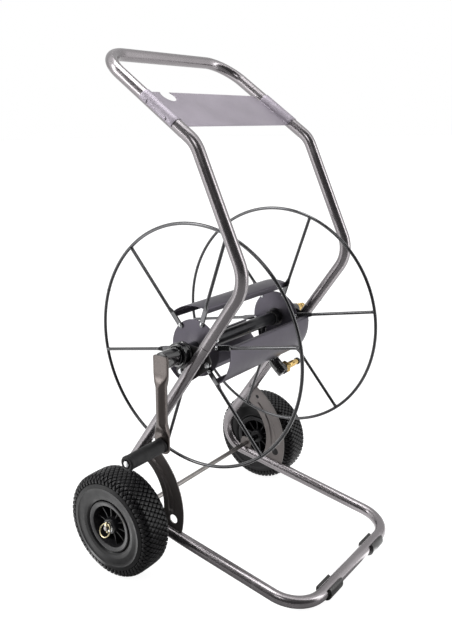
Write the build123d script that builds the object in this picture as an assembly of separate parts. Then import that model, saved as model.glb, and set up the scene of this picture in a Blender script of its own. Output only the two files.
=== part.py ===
from build123d import *
import os
from math import cos, radians, sin, sqrt, tan

# Garden hose reel cart. All sizes are in mm.
# X runs across the cart, with the crank on the -X side and the hose inlet on the +X side.
# -Y is the front bar, +Y the push handle and +Z up. Parts are built with the wheel axle at Y = 0
# and moved at the end, so that the origin is the bottom centre of the whole cart.
# Paired parts are built on the +X side and mirrored to the -X side.

# Wheels and axle
WHEEL_R = 130.0
WHEEL_X = 309.0
TYRE_HALF = 42.0
TYRE_SHOULDER = (39.0, 116.0)
TREAD_HALF, TREAD_EDGE_R = 22.0, 128.5
TREAD_GROOVES = (8.0, 24.0)
GROOVE_WIDTH, GROOVE_DEPTH = 3.2, 4.0
BEAD_R, BEAD_INNER, BEAD_OUTER = 64.0, 22.5, 36.5
RIM_HALF, RIM_OPENING_R = 34.0, 50.5
RIM_RIBS, RIB_T = 10, 2.8
HUB_R, HUB_HALF = 19.0, 34.5
BUSHING_R = 10.0
AXLE_R, AXLE_HALF = 6.0, 356.0
WASHER_R, WASHER_T = 13.0, 1.8
SPACER_R = 9.0
PIN_X, PIN_R, PIN_HEAD_R, PIN_HEAD = 350.0, 2.5, 4.0, 10.0
PIN_EYE_UP = 10.5
LINCH_RING_R, LINCH_WIRE_R, LINCH_RING_LEAN = 15.5, 1.5, 25.0

# Frame tubes, given by the corner points of their centrelines
TUBE_R, TUBE_WALL = 14.0, 1.5
SIDE_X = 225.0
FRONT_Y, FRONT_Z = -460.0, 20.0
REAR_Y, REAR_Z = 116.0, 124.9
SEAM_Y, SEAM_Z = -211.0, 578.6
KNEE_Y, KNEE_Z = -318.0, 727.1
SHOULDER_Y, SHOULDER_Z = -195.9, 1005.6
PUSH_Y, PUSH_Z = 66.4, 1194.3
REAR_BEND, FRONT_BEND = 66.0, 80.0
KNEE_BEND, SHOULDER_BEND, PUSH_BEND = 80.0, 70.0, 76.0
SPIGOT_LENGTH, SPIGOT_WALL, SEAM_GAP = 60.0, 1.4, 0.8

# Gusset arcs (centre Y, centre Z, radius) and holes (Y, Z, radius)
GUSSET_OUTER = (58.0, 150.0, 188.0)
GUSSET_INNER = (52.0, 160.0, 122.0)
GUSSET_HOLE = (-99.0, 127.0, 11.5)
GUSSET_TOP_HOLE = (-39.0, 283.0, 6.0)
GUSSET_T, RIB_HEIGHT = 3.0, 1.7

# Feet wrapped under the front bar
FOOT_X, FOOT_LENGTH, FOOT_R = 107.5, 55.0, 20.6
FOOT_MOUTH = (25, 60, 100, 137)

# Tool tray, with distances up the tube from the shoulder corner
TRAY_START, TRAY_END, WRAP_END = 60.0, 184.0, 163.0
TRAY_DROP, SHEET = 3.0, 1.5
WRAP_GAP = 0.05
NOTCH_X, NOTCH_AT, NOTCH_R = -140.5, 171.0, 20.0

# Reel
REEL_Y, REEL_Z = -135.7, 548.9
RING_R, RING_X, WIRE_R = 284.5, 174.3, 4.0
SPOKES, SPOKE_PHASE = 6, 50.0
TAB_CENTRE_R, TAB_LENGTH, TAB_WIDTH, TAB_T = 81.0, 50.0, 15.0, 3.2
DISC_R, DISC_T = 67.5, 2.0
RIVET_R = 64.0
DRUM_R, DRUM_LIP = 100.0, 14.0
PIPE_R, PIPE_BORE = 16.0, 14.0
PIPE_ENDS = (-264.0, 246.0)
FLANGE_R, FLANGE_LENGTH = 19.5, 24.0
RUN_GAP = 0.06

# Reel bearings
PLATE_X, PLATE_T = 209.0, 3.0
COLLAR_R, COLLAR_BORE_R, COLLAR_END = 27.5, 21.0, 238.0
PLATE_BOLTS = ((25.0, -43.0), (-20.0, 24.0))

# Crank
BOSS_R = 20.0
CRANK_X, CRANK_RADIUS, CRANK_LEAN = 289.0, 196.0, 1.5
CRANK_TUBE_R = 13.0
CRANK_FLAT_W, CRANK_FLAT_T = 42.0, 5.0
GRIP_R, GRIP_END, GRIP_BOLT_R = 16.5, 404.0, 5.0

# Outlet and inlet
OUTLET_X = 102.0
OUTLET_STEM = [(REEL_Y, REEL_Z), (-146.0, 476.0), (-204.0, 423.0)]
OUTLET_BEND, OUTLET_R, OUTLET_END_R = 34.0, 11.0, 15.0
OUTLET_TAIL = (-194.0, 431.0)
OUTLET_RING_X = 181.0
INLET_X, INLET_END, INLET_BORE = 270.0, 311.0, 6.0

LOW = (Align.CENTER, Align.CENTER, Align.MIN)
AXLE = (0.0, WHEEL_R)
REEL = (REEL_Y, REEL_Z)
SLOPE = Vector(0, KNEE_Y - REAR_Y, KNEE_Z - REAR_Z).normalized()
BEHIND_SLOPE = Vector(0, SLOPE.Z, -SLOPE.Y)
UP_HANDLE = Vector(0, PUSH_Y - SHOULDER_Y, PUSH_Z - SHOULDER_Z).normalized()
TRAY_NORMAL = Vector(0, -UP_HANDLE.Z, UP_HANDLE.Y)


# ---------------------------------------------------------------- shared shapes
def along_x(x0, x1, r, centre, bore=0.0):
    """Round bar, or sleeve, lying along X between two stations about a (y, z) centre."""
    start = Plane(origin=(min(x0, x1), *centre), x_dir=(0, 1, 0), z_dir=(1, 0, 0))
    body = start * Cylinder(r, abs(x1 - x0), align=LOW)
    if bore:
        body -= start * Cylinder(bore, abs(x1 - x0), align=LOW)
    return body


def rod(a, b, r):
    """Round bar between two points."""
    a, b = Vector(*a), Vector(*b)
    return Plane(origin=a, z_dir=b - a) * Cylinder(r, (b - a).length, align=LOW)


def yz_plate(points, x0, x1):
    """Flat plate with a polygon outline in the YZ plane, from x0 to x1."""
    outline = Polyline(*[(x0, y, z) for y, z in points], close=True)
    return extrude(make_face(outline), amount=abs(x1 - x0), dir=(1 if x1 > x0 else -1, 0, 0))


def turned(points, centre=(0.0, 0.0)):
    """Solid turned about an axis along X from the (x, radius) corners of its half section."""
    return Pos(0, *centre) * revolve(Plane.XZ * make_face(Polyline(*points, close=True)), Axis.X)


def bent_path(points, radii):
    """Wire through the points with a tangent arc of the given radius at each inner corner."""
    corners = [Vector(*point) for point in points]
    edges = []
    start = corners[0]
    for before, corner, after, radius in zip(corners, corners[1:], corners[2:], radii):
        back = (before - corner).normalized()
        ahead = (after - corner).normalized()
        half = radians(back.get_angle(ahead)) / 2
        reach = radius / tan(half)
        middle = corner + (back + ahead).normalized() * (radius / sin(half) - radius)
        arc_start, arc_end = corner + back * reach, corner + ahead * reach
        edges += [Line(start, arc_start).edge(), ThreePointArc(arc_start, middle, arc_end).edge()]
        start = arc_end
    edges.append(Line(start, corners[-1]).edge())
    return Wire(edges)


def swept(path, r):
    """Round bar of constant radius along a path."""
    return sweep(Plane(origin=path @ 0, z_dir=path % 0) * Circle(r), path=path)


def hex_head(across, height, at, direction):
    """Hexagonal head standing on a point."""
    outline = RegularPolygon(across / sqrt(3), 6)
    return Plane(origin=at, z_dir=direction) * extrude(outline, amount=height)


def dome_head(r, height, at, direction):
    """Low domed rivet or screw head standing on a point."""
    ball_r = (r * r + height * height) / (2 * height)
    cap = Pos(0, 0, height - ball_r) * Sphere(ball_r) & Pos(0, 0, height / 2) * Box(3 * r, 3 * r, height)
    return Plane(origin=at, z_dir=direction) * cap


def largest(shape):
    """The biggest solid that is left after a cut."""
    return shape.solids().sort_by(SortBy.VOLUME)[-1]


def on_slope(distance, x=SIDE_X):
    """Point on the sloped tube's centreline, measured upwards from the seam."""
    return Vector(x, SEAM_Y, SEAM_Z) + SLOPE * distance


def reel_point(x, r, angle):
    """Point at a radius and an angle (from +Y towards +Z) about the reel axis."""
    return Vector(x, REEL_Y + r * cos(radians(angle)), REEL_Z + r * sin(radians(angle)))


# ---------------------------------------------------------------- frame
def frame_loop(half_points, radii):
    """Centreline of a bent tube that is the same on both sides of the cart."""
    left = [(-x, y, z) for x, y, z in half_points]
    return bent_path(left + half_points[::-1], radii + radii[::-1])


def lower_frame_tube():
    """Base loop and sloped tubes, each sloped tube ending in a spigot for the handle tube."""
    neck = 4.0
    spigot_r = TUBE_R - TUBE_WALL - 0.1
    half = [
        tuple(on_slope(-neck)),
        (SIDE_X, REAR_Y, REAR_Z),
        (SIDE_X, FRONT_Y, FRONT_Z),
    ]
    path = frame_loop(half, [REAR_BEND, FRONT_BEND])
    tube = swept(path, TUBE_R) - swept(path, TUBE_R - TUBE_WALL)
    for x in (-SIDE_X, SIDE_X):
        tube += Plane(origin=on_slope(-neck, x), z_dir=SLOPE) * Cylinder(TUBE_R, neck, align=LOW)
        tube += Plane(origin=on_slope(0, x), z_dir=SLOPE) * Cylinder(spigot_r, SPIGOT_LENGTH, align=LOW)
        bore = Cylinder(spigot_r - SPIGOT_WALL, SPIGOT_LENGTH + neck + 2, align=LOW)
        tube -= Plane(origin=on_slope(-neck - 1, x), z_dir=SLOPE) * bore
    return tube


def handle_tube():
    """Push handle: both upper side tubes and the cross bar, in one bent tube."""
    half = [
        tuple(on_slope(SEAM_GAP)),
        (SIDE_X, KNEE_Y, KNEE_Z),
        (SIDE_X, SHOULDER_Y, SHOULDER_Z),
        (SIDE_X, PUSH_Y, PUSH_Z),
    ]
    path = frame_loop(half, [KNEE_BEND, SHOULDER_BEND, PUSH_BEND])
    return swept(path, TUBE_R) - swept(path, TUBE_R - TUBE_WALL)


def slope_bar(x=SIDE_X):
    """The sloped side tube as a full round bar, for cutting what is welded to it."""
    corners = [tuple(on_slope(60, x)), (x, REAR_Y, REAR_Z), (x, FRONT_Y, FRONT_Z)]
    return swept(bent_path(corners, [REAR_BEND]), TUBE_R)


def joint_screws():
    """Two screws that hold the spigots, one in each side tube."""
    screws = []
    for x in (-SIDE_X, SIDE_X):
        seat = on_slope(SPIGOT_LENGTH / 2 + 2, x) - BEHIND_SLOPE * (TUBE_R - 0.2)
        screw = dome_head(4.5, 3.0, seat, -BEHIND_SLOPE) - rod(on_slope(0, x), on_slope(SPIGOT_LENGTH, x), TUBE_R)
        screws.append(screw.solid())
    return Compound(children=screws)


def gusset():
    """Curved pressed plate that ties the base loop to the sloped tube in front of the wheel."""
    def arc_plate(half_t, outer, inner):
        return along_x(SIDE_X - half_t, SIDE_X + half_t, outer[2], outer[:2]) - along_x(
            SIDE_X - half_t, SIDE_X + half_t, inner[2], inner[:2]
        )

    reach = [(-145, 30), (-145, 250), (-70, 335), (5, 283), (-3, 240), (-40, 180), (-40, 75)]
    plate = arc_plate(GUSSET_T / 2, GUSSET_OUTER, GUSSET_INNER) & yz_plate(reach, SIDE_X - 2, SIDE_X + 2)
    rib_reach = [(-145, 152), (-145, 240), (-90, 270), (-45, 240), (-45, 152)]
    rib_half = GUSSET_T / 2 + RIB_HEIGHT
    outer_y, outer_z, outer_r = GUSSET_OUTER
    for inset in (18.0, 42.0):
        rib = arc_plate(
            rib_half, (outer_y, outer_z, outer_r - inset + 3), (outer_y, outer_z, outer_r - inset - 3)
        )
        plate += rib & yz_plate(rib_reach, SIDE_X - rib_half, SIDE_X + rib_half)
    for y, z, r in (GUSSET_HOLE, GUSSET_TOP_HOLE):
        plate -= along_x(SIDE_X - 5, SIDE_X + 5, r, (y, z))
    return largest(plate - slope_bar())


def axle_lug():
    """Small plate welded on the base loop that carries the axle."""
    outline = [(-17, 140), (17, 146), (26, 112), (6, 96), (-12, 94)]
    lug = yz_plate(outline, SIDE_X - 2.5, SIDE_X + 2.5) - slope_bar()
    return largest(lug - along_x(SIDE_X - 4, SIDE_X + 4, AXLE_R, AXLE))


def foot():
    """Rubber saddle wrapped under the front bar, open at the top and flat underneath."""
    x0, x1 = FOOT_X - FOOT_LENGTH / 2, FOOT_X + FOOT_LENGTH / 2
    bar = (FRONT_Y, FRONT_Z)
    mouth = [bar]
    for angle in FOOT_MOUTH:
        mouth.append((FRONT_Y + 2 * FOOT_R * cos(radians(angle)), FRONT_Z + 2 * FOOT_R * sin(radians(angle))))
    saddle = along_x(x0, x1, FOOT_R, bar, TUBE_R) - yz_plate(mouth, x0 - 1, x1 + 1)
    saddle -= Pos(FOOT_X, FRONT_Y, -FOOT_R) * Box(2 * FOOT_LENGTH, 4 * FOOT_R, 2 * FOOT_R)
    return saddle.solid()


# ---------------------------------------------------------------- wheels
def wheel_axle():
    """Through axle with a cross hole for a linch pin at each end."""
    axle = along_x(-AXLE_HALF, AXLE_HALF, AXLE_R, AXLE)
    axle = chamfer(axle.edges().filter_by(GeomType.CIRCLE), 1.0)
    for x in (-PIN_X, PIN_X):
        axle -= Pos(x, 0, WHEEL_R) * Cylinder(PIN_R, 4 * AXLE_R)
    return axle


def tyre():
    """Hollow rubber tyre with grooves round its tread."""
    shoulder_x, shoulder_r = TYRE_SHOULDER
    right = [
        ThreePointArc((BEAD_OUTER, BEAD_R), (TYRE_HALF, 92), (shoulder_x, shoulder_r)),
        ThreePointArc((shoulder_x, shoulder_r), (33.5, 124), (TREAD_HALF, TREAD_EDGE_R)),
        ThreePointArc((BEAD_INNER, BEAD_R + 6), (34, 95), (20, 116)),
        Line((BEAD_INNER, BEAD_R), (BEAD_INNER, BEAD_R + 6)),
        Line((BEAD_INNER, BEAD_R), (BEAD_OUTER, BEAD_R)),
    ]
    crowns = [
        ThreePointArc((-TREAD_HALF, TREAD_EDGE_R), (0, WHEEL_R), (TREAD_HALF, TREAD_EDGE_R)),
        ThreePointArc((-20, 116), (0, 117.5), (20, 116)),
    ]
    left = [mirror(curve, Plane.YZ) for curve in right]
    body = revolve(Plane.XZ * make_face(Curve() + right + left + crowns), Axis.X)
    for middle in [-x for x in TREAD_GROOVES] + list(TREAD_GROOVES):
        x0, x1 = middle - GROOVE_WIDTH / 2, middle + GROOVE_WIDTH / 2
        floor_r = WHEEL_R - GROOVE_DEPTH - middle * middle / 400
        body -= along_x(x0, x1, WHEEL_R + 5, (0, 0), floor_r)
    return Pos(WHEEL_X, *AXLE) * body


def rim():
    """Plastic rim: a barrel with two rounded lips, a web, a hub and thin radial ribs."""
    lip = [(RIM_HALF, RIM_OPENING_R), (RIM_HALF + 2, BEAD_R - 5), (RIM_HALF + 2, BEAD_R - 0.8)]
    seat = [(BEAD_INNER - 0.5, BEAD_R), (18.0, BEAD_R - 6)]
    inside = [(RIM_HALF - 3, RIM_OPENING_R - 1), (3.0, RIM_OPENING_R - 3)]
    right = lip + seat
    body = turned(right + [(-x, r) for x, r in right[::-1]] + [(-x, r) for x, r in inside] + inside[::-1])
    body += along_x(-3, 3, RIM_OPENING_R, (0, 0))
    half_hub = [(0, HUB_R + 1), (HUB_HALF - 2, HUB_R - 1), (HUB_HALF, HUB_R - 2), (HUB_HALF, 0)]
    body += turned([(-x, r) for x, r in half_hub[:0:-1]] + half_hub)
    for k in range(RIM_RIBS):
        body += Rot(k * 360 / RIM_RIBS + 8, 0, 0) * Pos(0, 0, 34) * Box(44, RIB_T, 32)
    body -= along_x(-2 * HUB_HALF, 2 * HUB_HALF, BUSHING_R, (0, 0))
    return Pos(WHEEL_X, *AXLE) * body.solid()


def linch_pin():
    """Pin through the axle end, with a drilled flat head that carries the spring ring."""
    top = WHEEL_R + AXLE_R
    pin = Pos(PIN_X, 0, WHEEL_R - 13) * Cylinder(PIN_R, 20, align=LOW)
    head = Pos(PIN_X, 0, top) * Cylinder(PIN_HEAD_R, PIN_HEAD, align=LOW)
    head &= Pos(PIN_X, 0, top + PIN_HEAD / 2) * Box(20, 6, 20)
    pin += fillet(head.edges().group_by(Axis.Z)[-1], 1.5)
    eye = Rot(90, 0, 0) * Cylinder(LINCH_WIRE_R + 0.6, 20)
    pin -= Pos(PIN_X, 0, WHEEL_R + PIN_EYE_UP) * eye
    axle = along_x(PIN_X - 8, PIN_X + 8, AXLE_R, AXLE) - Pos(PIN_X, 0, WHEEL_R) * Cylinder(PIN_R, 40)
    return (pin - axle).solid()


def linch_ring():
    """Spring ring hinged in the head of the linch pin, hanging round the axle end."""
    ring = Pos(0, 0, -LINCH_RING_R) * Rot(0, 90, 0) * Torus(LINCH_RING_R, LINCH_WIRE_R)
    return Pos(PIN_X, 0, WHEEL_R + PIN_EYE_UP) * Rot(0, -LINCH_RING_LEAN, 0) * ring


# ---------------------------------------------------------------- tool tray
def tool_tray():
    """Sheet tray between the handle's side tubes, with an upper wrap round each tube."""
    section = Plane(origin=(0, SHOULDER_Y, SHOULDER_Z), x_dir=(-1, 0, 0), z_dir=UP_HANDLE)
    section = section.offset(TRAY_START)
    floor = Pos(0, -TRAY_DROP - SHEET / 2) * Rectangle(2 * SIDE_X - 10, SHEET)
    wraps = Sketch()
    for x in (-SIDE_X, SIDE_X):
        wrap = Circle(TUBE_R + SHEET + WRAP_GAP) - Circle(TUBE_R + WRAP_GAP)
        wraps += Pos(x, 0) * (wrap & Pos(0, 10 - TRAY_DROP - SHEET) * Rectangle(60, 20))
        floor -= Pos(x, 0) * Circle(TUBE_R + WRAP_GAP)
    tray = extrude(section * floor, amount=TRAY_END - TRAY_START, dir=UP_HANDLE)
    tray += extrude(section * wraps, amount=WRAP_END - TRAY_START, dir=UP_HANDLE)
    # Round notch, open at the rear edge, for hanging a hose gun
    notch = Vector(NOTCH_X, SHOULDER_Y, SHOULDER_Z) + UP_HANDLE * NOTCH_AT - TRAY_NORMAL * 15
    return largest(tray - Plane(origin=notch, z_dir=TRAY_NORMAL) * Cylinder(NOTCH_R, 30, align=LOW))


def tray_rivets():
    """Two domed rivets through each wrap."""
    rivets = []
    for side in (-1, 1):
        for distance in (TRAY_START + 22, WRAP_END - 20):
            x = side * (SIDE_X + TUBE_R + SHEET)
            at = Vector(x, SHOULDER_Y, SHOULDER_Z) + UP_HANDLE * distance
            shank = rod(at - Vector(side * SHEET, 0, 0), at + Vector(side * 0.3, 0, 0), 1.8)
            rivets.append((dome_head(4.0, 2.0, at, (side, 0, 0)) + shank).solid())
    return rivets


# ---------------------------------------------------------------- reel bearings
def beside_slope(across, along, x):
    """Point near the bearing: across is behind the sloped tube, along is up it from the reel axis."""
    reel_along = (Vector(0, *REEL) - Vector(0, SEAM_Y, SEAM_Z)).dot(SLOPE)
    return on_slope(reel_along + along, x) + BEHIND_SLOPE * across


def bearing_bolts():
    """Two bolts through each bearing plate, with a hexagonal head outside and a nut inside."""
    bolts = []
    for across, along in PLATE_BOLTS:
        inner = beside_slope(across, along, PLATE_X)
        outer = beside_slope(across, along, PLATE_X + PLATE_T)
        bolt = hex_head(11, 4.5, inner, (-1, 0, 0)) + rod(inner, outer, 3.0) + hex_head(10, 4, outer, (1, 0, 0))
        bolts.append(largest(bolt - slope_bar()))
    return bolts


def bearing_plate(bolts):
    """Plate welded to the inner side of the sloped tube, with a hole for the bearing collar."""
    outline = [(-30, 10), (-30, 36), (-12, 46), (20, 40), (44, 26), (44, -26), (36, -52), (18, -58), (-8, -44)]
    corners = [beside_slope(across, along, PLATE_X) for across, along in outline]
    plate = yz_plate([(corner.Y, corner.Z) for corner in corners], PLATE_X, PLATE_X + PLATE_T)
    plate += along_x(PLATE_X, PLATE_X + PLATE_T, 25.5, REEL)
    plate -= along_x(PLATE_X, PLATE_X + PLATE_T, COLLAR_BORE_R, REEL)
    weld_x = SIDE_X - 11.5
    plate += rod(on_slope(-88, weld_x), on_slope(-3, weld_x), 5.0)
    plate -= slope_bar()
    for bolt in bolts:
        plate -= bolt
    return largest(plate)


def bearing_collar():
    """Flanged bush in which the reel pipe turns, with a groove round it."""
    bore = PIPE_R + RUN_GAP
    outer = PLATE_X + PLATE_T
    return turned(
        [
            (PLATE_X - 2.5, bore),
            (PLATE_X - 2.5, COLLAR_BORE_R + 2),
            (PLATE_X, COLLAR_BORE_R + 2),
            (PLATE_X, COLLAR_BORE_R),
            (outer, COLLAR_BORE_R),
            (outer, COLLAR_R),
            (outer + 6, COLLAR_R),
            (outer + 7, COLLAR_R - 2),
            (outer + 15, COLLAR_R - 2),
            (outer + 16, COLLAR_R),
            (COLLAR_END - 3, COLLAR_R),
            (COLLAR_END, COLLAR_R - 3),
            (COLLAR_END, bore),
        ],
        REEL,
    )


# ---------------------------------------------------------------- reel
SPOKE_ANGLES = [SPOKE_PHASE + 360 / SPOKES * k for k in range(SPOKES)]
TAB_OUTER_X = RING_X - 0.6
DISC_OUTER_X = TAB_OUTER_X - TAB_T
DISC_INNER_X = DISC_OUTER_X - DISC_T


def reel_ring():
    """Round wire rim of one reel flange."""
    return Pos(RING_X, *REEL) * Rot(0, 90, 0) * Torus(RING_R, WIRE_R)


def spoke_rivets():
    """Rivets that hold the flattened spoke ends to the hub disc."""
    rivets = []
    for angle in SPOKE_ANGLES:
        at = reel_point(TAB_OUTER_X, RIVET_R, angle)
        shank = rod(reel_point(DISC_INNER_X, RIVET_R, angle), at, 2.5)
        rivets.append((dome_head(4.2, 2.2, at, (1, 0, 0)) + shank).solid())
    return rivets


def reel_spokes(rivets, ring):
    """Wire spokes with flattened inner ends."""
    spokes = []
    for angle, rivet in zip(SPOKE_ANGLES, rivets):
        wire = rod(reel_point(RING_X, 96, angle), reel_point(RING_X, RING_R, angle), WIRE_R)
        turn = Pos(0, *REEL) * Rot(angle - 90, 0, 0)
        tab = turn * Pos(TAB_OUTER_X - TAB_T / 2, 0, TAB_CENTRE_R) * Box(TAB_T, TAB_WIDTH, TAB_LENGTH)
        tab = fillet(tab.edges().filter_by(Axis.X), 5)
        spokes.append((largest(wire - ring) + tab - rivet).solid())
    return Compound(children=spokes)


def hub_disc(rivets):
    """Round sheet disc on the reel pipe."""
    disc = along_x(DISC_INNER_X, DISC_OUTER_X, DISC_R, REEL, PIPE_R)
    for rivet in rivets:
        disc -= rivet
    return disc


def drum_sheet(first_angle):
    """Curved sheet between two spokes that the hose lies on, with an inward lip along each edge."""
    half_length = DISC_OUTER_X - 0.1
    lo, hi = first_angle + 2, first_angle + 360 / SPOKES - 2
    inner_r, lip_r = DRUM_R - SHEET, DRUM_R - DRUM_LIP
    lip_turn = SHEET / inner_r * 57.3

    def at(r, angle):
        return reel_point(-half_length, r, angle)

    outline = [
        ThreePointArc(at(DRUM_R, lo), at(DRUM_R, (lo + hi) / 2), at(DRUM_R, hi)),
        Line(at(DRUM_R, hi), at(lip_r, hi)),
        Line(at(lip_r, hi), at(lip_r, hi - lip_turn)),
        Line(at(lip_r, hi - lip_turn), at(inner_r, hi - lip_turn)),
        ThreePointArc(at(inner_r, hi - lip_turn), at(inner_r, (lo + hi) / 2), at(inner_r, lo + lip_turn)),
        Line(at(inner_r, lo + lip_turn), at(lip_r, lo + lip_turn)),
        Line(at(lip_r, lo + lip_turn), at(lip_r, lo)),
        Line(at(lip_r, lo), at(DRUM_R, lo)),
    ]
    return extrude(make_face(Curve() + outline), amount=2 * half_length, dir=(1, 0, 0))


# ---------------------------------------------------------------- water fittings
def outlet_elbow():
    """Bent stem from the reel pipe down to a side socket for the hose tail."""
    corners = [Vector(OUTLET_X, y, z) for y, z in OUTLET_STEM]
    stem = swept(bent_path(corners, [OUTLET_BEND]), OUTLET_R)
    stem += rod(corners[1] + (corners[2] - corners[1]) * 0.45, corners[2], OUTLET_END_R)
    stem -= along_x(OUTLET_X - 30, OUTLET_X + 30, PIPE_R, REEL)
    stem += along_x(OUTLET_X, OUTLET_X + 18, 13.0, OUTLET_TAIL)
    return stem.solid()


def outlet_hose_tail():
    """Brass nut and barbed hose tail."""
    nut_x, barb_x = OUTLET_X + 18, OUTLET_X + 30
    tail = [(barb_x, 0), (barb_x, 8.6), (barb_x + 9, 8.6)]
    for step in (9, 15, 21, 27):
        tail += [(barb_x + step, 7.2), (barb_x + step + 6, 8.6)]
    tail += [(barb_x + 33, 7.2), (OUTLET_RING_X, 7.2), (OUTLET_RING_X, 0)]
    body = hex_head(30, 12, (nut_x, *OUTLET_TAIL), (1, 0, 0)) + turned(tail, OUTLET_TAIL)
    return (body - along_x(nut_x, OUTLET_RING_X, 5, OUTLET_TAIL)).solid()


def inlet_swivel():
    """Plastic swivel plug that the reel pipe turns on."""
    plug_r = PIPE_BORE - 0.05
    return turned(
        [
            (222, 9.0),
            (222, plug_r),
            (246.5, plug_r),
            (246.5, 18.0),
            (256, 18.0),
            (258, 15.0),
            (INLET_X, 15.0),
            (INLET_X, 9.0),
        ],
        REEL,
    )


def inlet_connector():
    """Brass hexagon and quick-connect nipple for the supply hose."""
    nipple = [
        (INLET_X + 9, INLET_BORE),
        (INLET_X + 9, 10.5),
        (INLET_X + 20, 10.5),
        (INLET_X + 20, 8.6),
        (INLET_X + 24, 8.6),
        (INLET_X + 24, 10.2),
        (INLET_X + 30, 10.2),
        (INLET_X + 33, 8.6),
        (INLET_END - 1, 8.6),
        (INLET_END, 7.6),
        (INLET_END, INLET_BORE),
    ]
    brass = hex_head(24, 9, (INLET_X, *REEL), (1, 0, 0)) + turned(nipple, REEL)
    return (brass - along_x(INLET_X, INLET_END, INLET_BORE, REEL)).solid()


# ---------------------------------------------------------------- crank
# Crank parts are built with the reel axis at Y = Z = 0 and the grip straight below it.
GRIP_CENTRE = (0.0, -CRANK_RADIUS)
CRANK_FACE_X = -CRANK_X - CRANK_FLAT_T / 2


def crank_boss():
    """Round boss on the end of the reel pipe that the crank is fixed to."""
    start = -COLLAR_END - 0.6
    boss = along_x(start, CRANK_FACE_X + CRANK_FLAT_T, BOSS_R, (0, 0)) - along_x(start, PIPE_ENDS[0], PIPE_R, (0, 0))
    rims = boss.edges().filter_by(GeomType.CIRCLE).filter_by(lambda edge: edge.radius > BOSS_R - 0.1)
    return fillet(rims, 1.5)


def crank_neck(z_round, z_flat):
    """Stretch of the crank over which the tube is pressed flat."""
    sections = []
    for t in (0.0, 0.35, 0.7, 1.0):
        ease = t * t * (3 - 2 * t)
        half_w = CRANK_TUBE_R + (CRANK_FLAT_W / 2 - CRANK_TUBE_R) * ease
        half_t = CRANK_TUBE_R + (CRANK_FLAT_T / 2 + 0.2 - CRANK_TUBE_R) * ease
        here = Plane(origin=(-CRANK_X, 0, z_round + (z_flat - z_round) * t), x_dir=(0, 1, 0), z_dir=(0, 0, 1))
        sections.append(here * Ellipse(half_w, half_t))
    return loft(sections)


def crank_end(z_inner, z_outer, corner_r):
    """Flat end of the crank with rounded outer corners."""
    flat = Pos(-CRANK_X, 0, (z_inner + z_outer) / 2) * Box(CRANK_FLAT_T, CRANK_FLAT_W, abs(z_outer - z_inner))
    corners = flat.edges().filter_by(Axis.X).group_by(Axis.Z)[-1 if z_outer > z_inner else 0]
    return fillet(corners, corner_r)


def crank_arm():
    """Round tube pressed flat at both ends."""
    grip_z = -CRANK_RADIUS
    arm = rod((-CRANK_X, 0, grip_z + 46), (-CRANK_X, 0, -46), CRANK_TUBE_R)
    arm += crank_neck(-46, -26) + crank_neck(grip_z + 46, grip_z + 24)
    arm += crank_end(-30, 13, 5.0) + crank_end(grip_z + 28, grip_z - 20, 14.0)
    return (arm - along_x(-CRANK_X - 10, -CRANK_X + 10, GRIP_BOLT_R, GRIP_CENTRE)).solid()


def hand_grip():
    """Rubber sleeve that turns on the grip bolt, with a recess for the bolt head."""
    bore = GRIP_BOLT_R + RUN_GAP
    return turned(
        [
            (CRANK_FACE_X - 1, bore),
            (CRANK_FACE_X - 1, GRIP_R + 1),
            (CRANK_FACE_X - 4, GRIP_R + 1.5),
            (CRANK_FACE_X - 12, GRIP_R),
            (CRANK_FACE_X - 60, GRIP_R + 0.3),
            (-GRIP_END + 8, GRIP_R - 0.5),
            (-GRIP_END + 2, GRIP_R - 2.5),
            (-GRIP_END, 11.0),
            (-GRIP_END + 4, 9.5),
            (-GRIP_END + 4, bore),
        ],
        GRIP_CENTRE,
    )


def grip_bolt():
    """Long bolt through the grip and the crank's lower end."""
    head_x = -GRIP_END + 3.4
    bolt = along_x(CRANK_FACE_X + CRANK_FLAT_T + 6, head_x, GRIP_BOLT_R, GRIP_CENTRE)
    return (bolt + hex_head(13, 5, (head_x, *GRIP_CENTRE), (-1, 0, 0))).solid()


def grip_nut():
    """Nut behind the crank's lower end."""
    seat = CRANK_FACE_X + CRANK_FLAT_T
    return hex_head(15, 6, (seat, *GRIP_CENTRE), (1, 0, 0)) - along_x(seat, seat + 6, GRIP_BOLT_R, GRIP_CENTRE)


# ---------------------------------------------------------------- the whole cart
bolts = bearing_bolts()
rivets = spoke_rivets()
ring = reel_ring()
wheel_outer_x = WHEEL_X + HUB_HALF + 0.5
wheel_inner_x = WHEEL_X - HUB_HALF - 0.5
paired = {
    "gusset": gusset(),
    "axle_lug": axle_lug(),
    "foot": foot(),
    "tyre": tyre(),
    "rim": rim(),
    "wheel_bushing": along_x(
        WHEEL_X - HUB_HALF, WHEEL_X + HUB_HALF, BUSHING_R, AXLE, AXLE_R + RUN_GAP
    ),
    "axle_washer": along_x(wheel_outer_x, wheel_outer_x + WASHER_T, WASHER_R, AXLE, AXLE_R),
    "axle_spacer": along_x(SIDE_X + 2.5, wheel_inner_x, SPACER_R, AXLE, AXLE_R),
    "linch_pin": linch_pin(),
    "linch_ring": linch_ring(),
    "bearing_plate": bearing_plate(bolts),
    "bearing_bolts": Compound(children=bolts),
    "bearing_collar": bearing_collar(),
    "reel_ring": ring,
    "reel_spokes": reel_spokes(rivets, ring),
    "spoke_rivets": Compound(children=rivets),
    "hub_disc": hub_disc(rivets),
    "pipe_flange": along_x(DISC_INNER_X - FLANGE_LENGTH, DISC_INNER_X, FLANGE_R, REEL, PIPE_R),
}
tray = tool_tray()
tray_fixings = tray_rivets()
for rivet in tray_fixings:
    tray -= rivet
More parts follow.
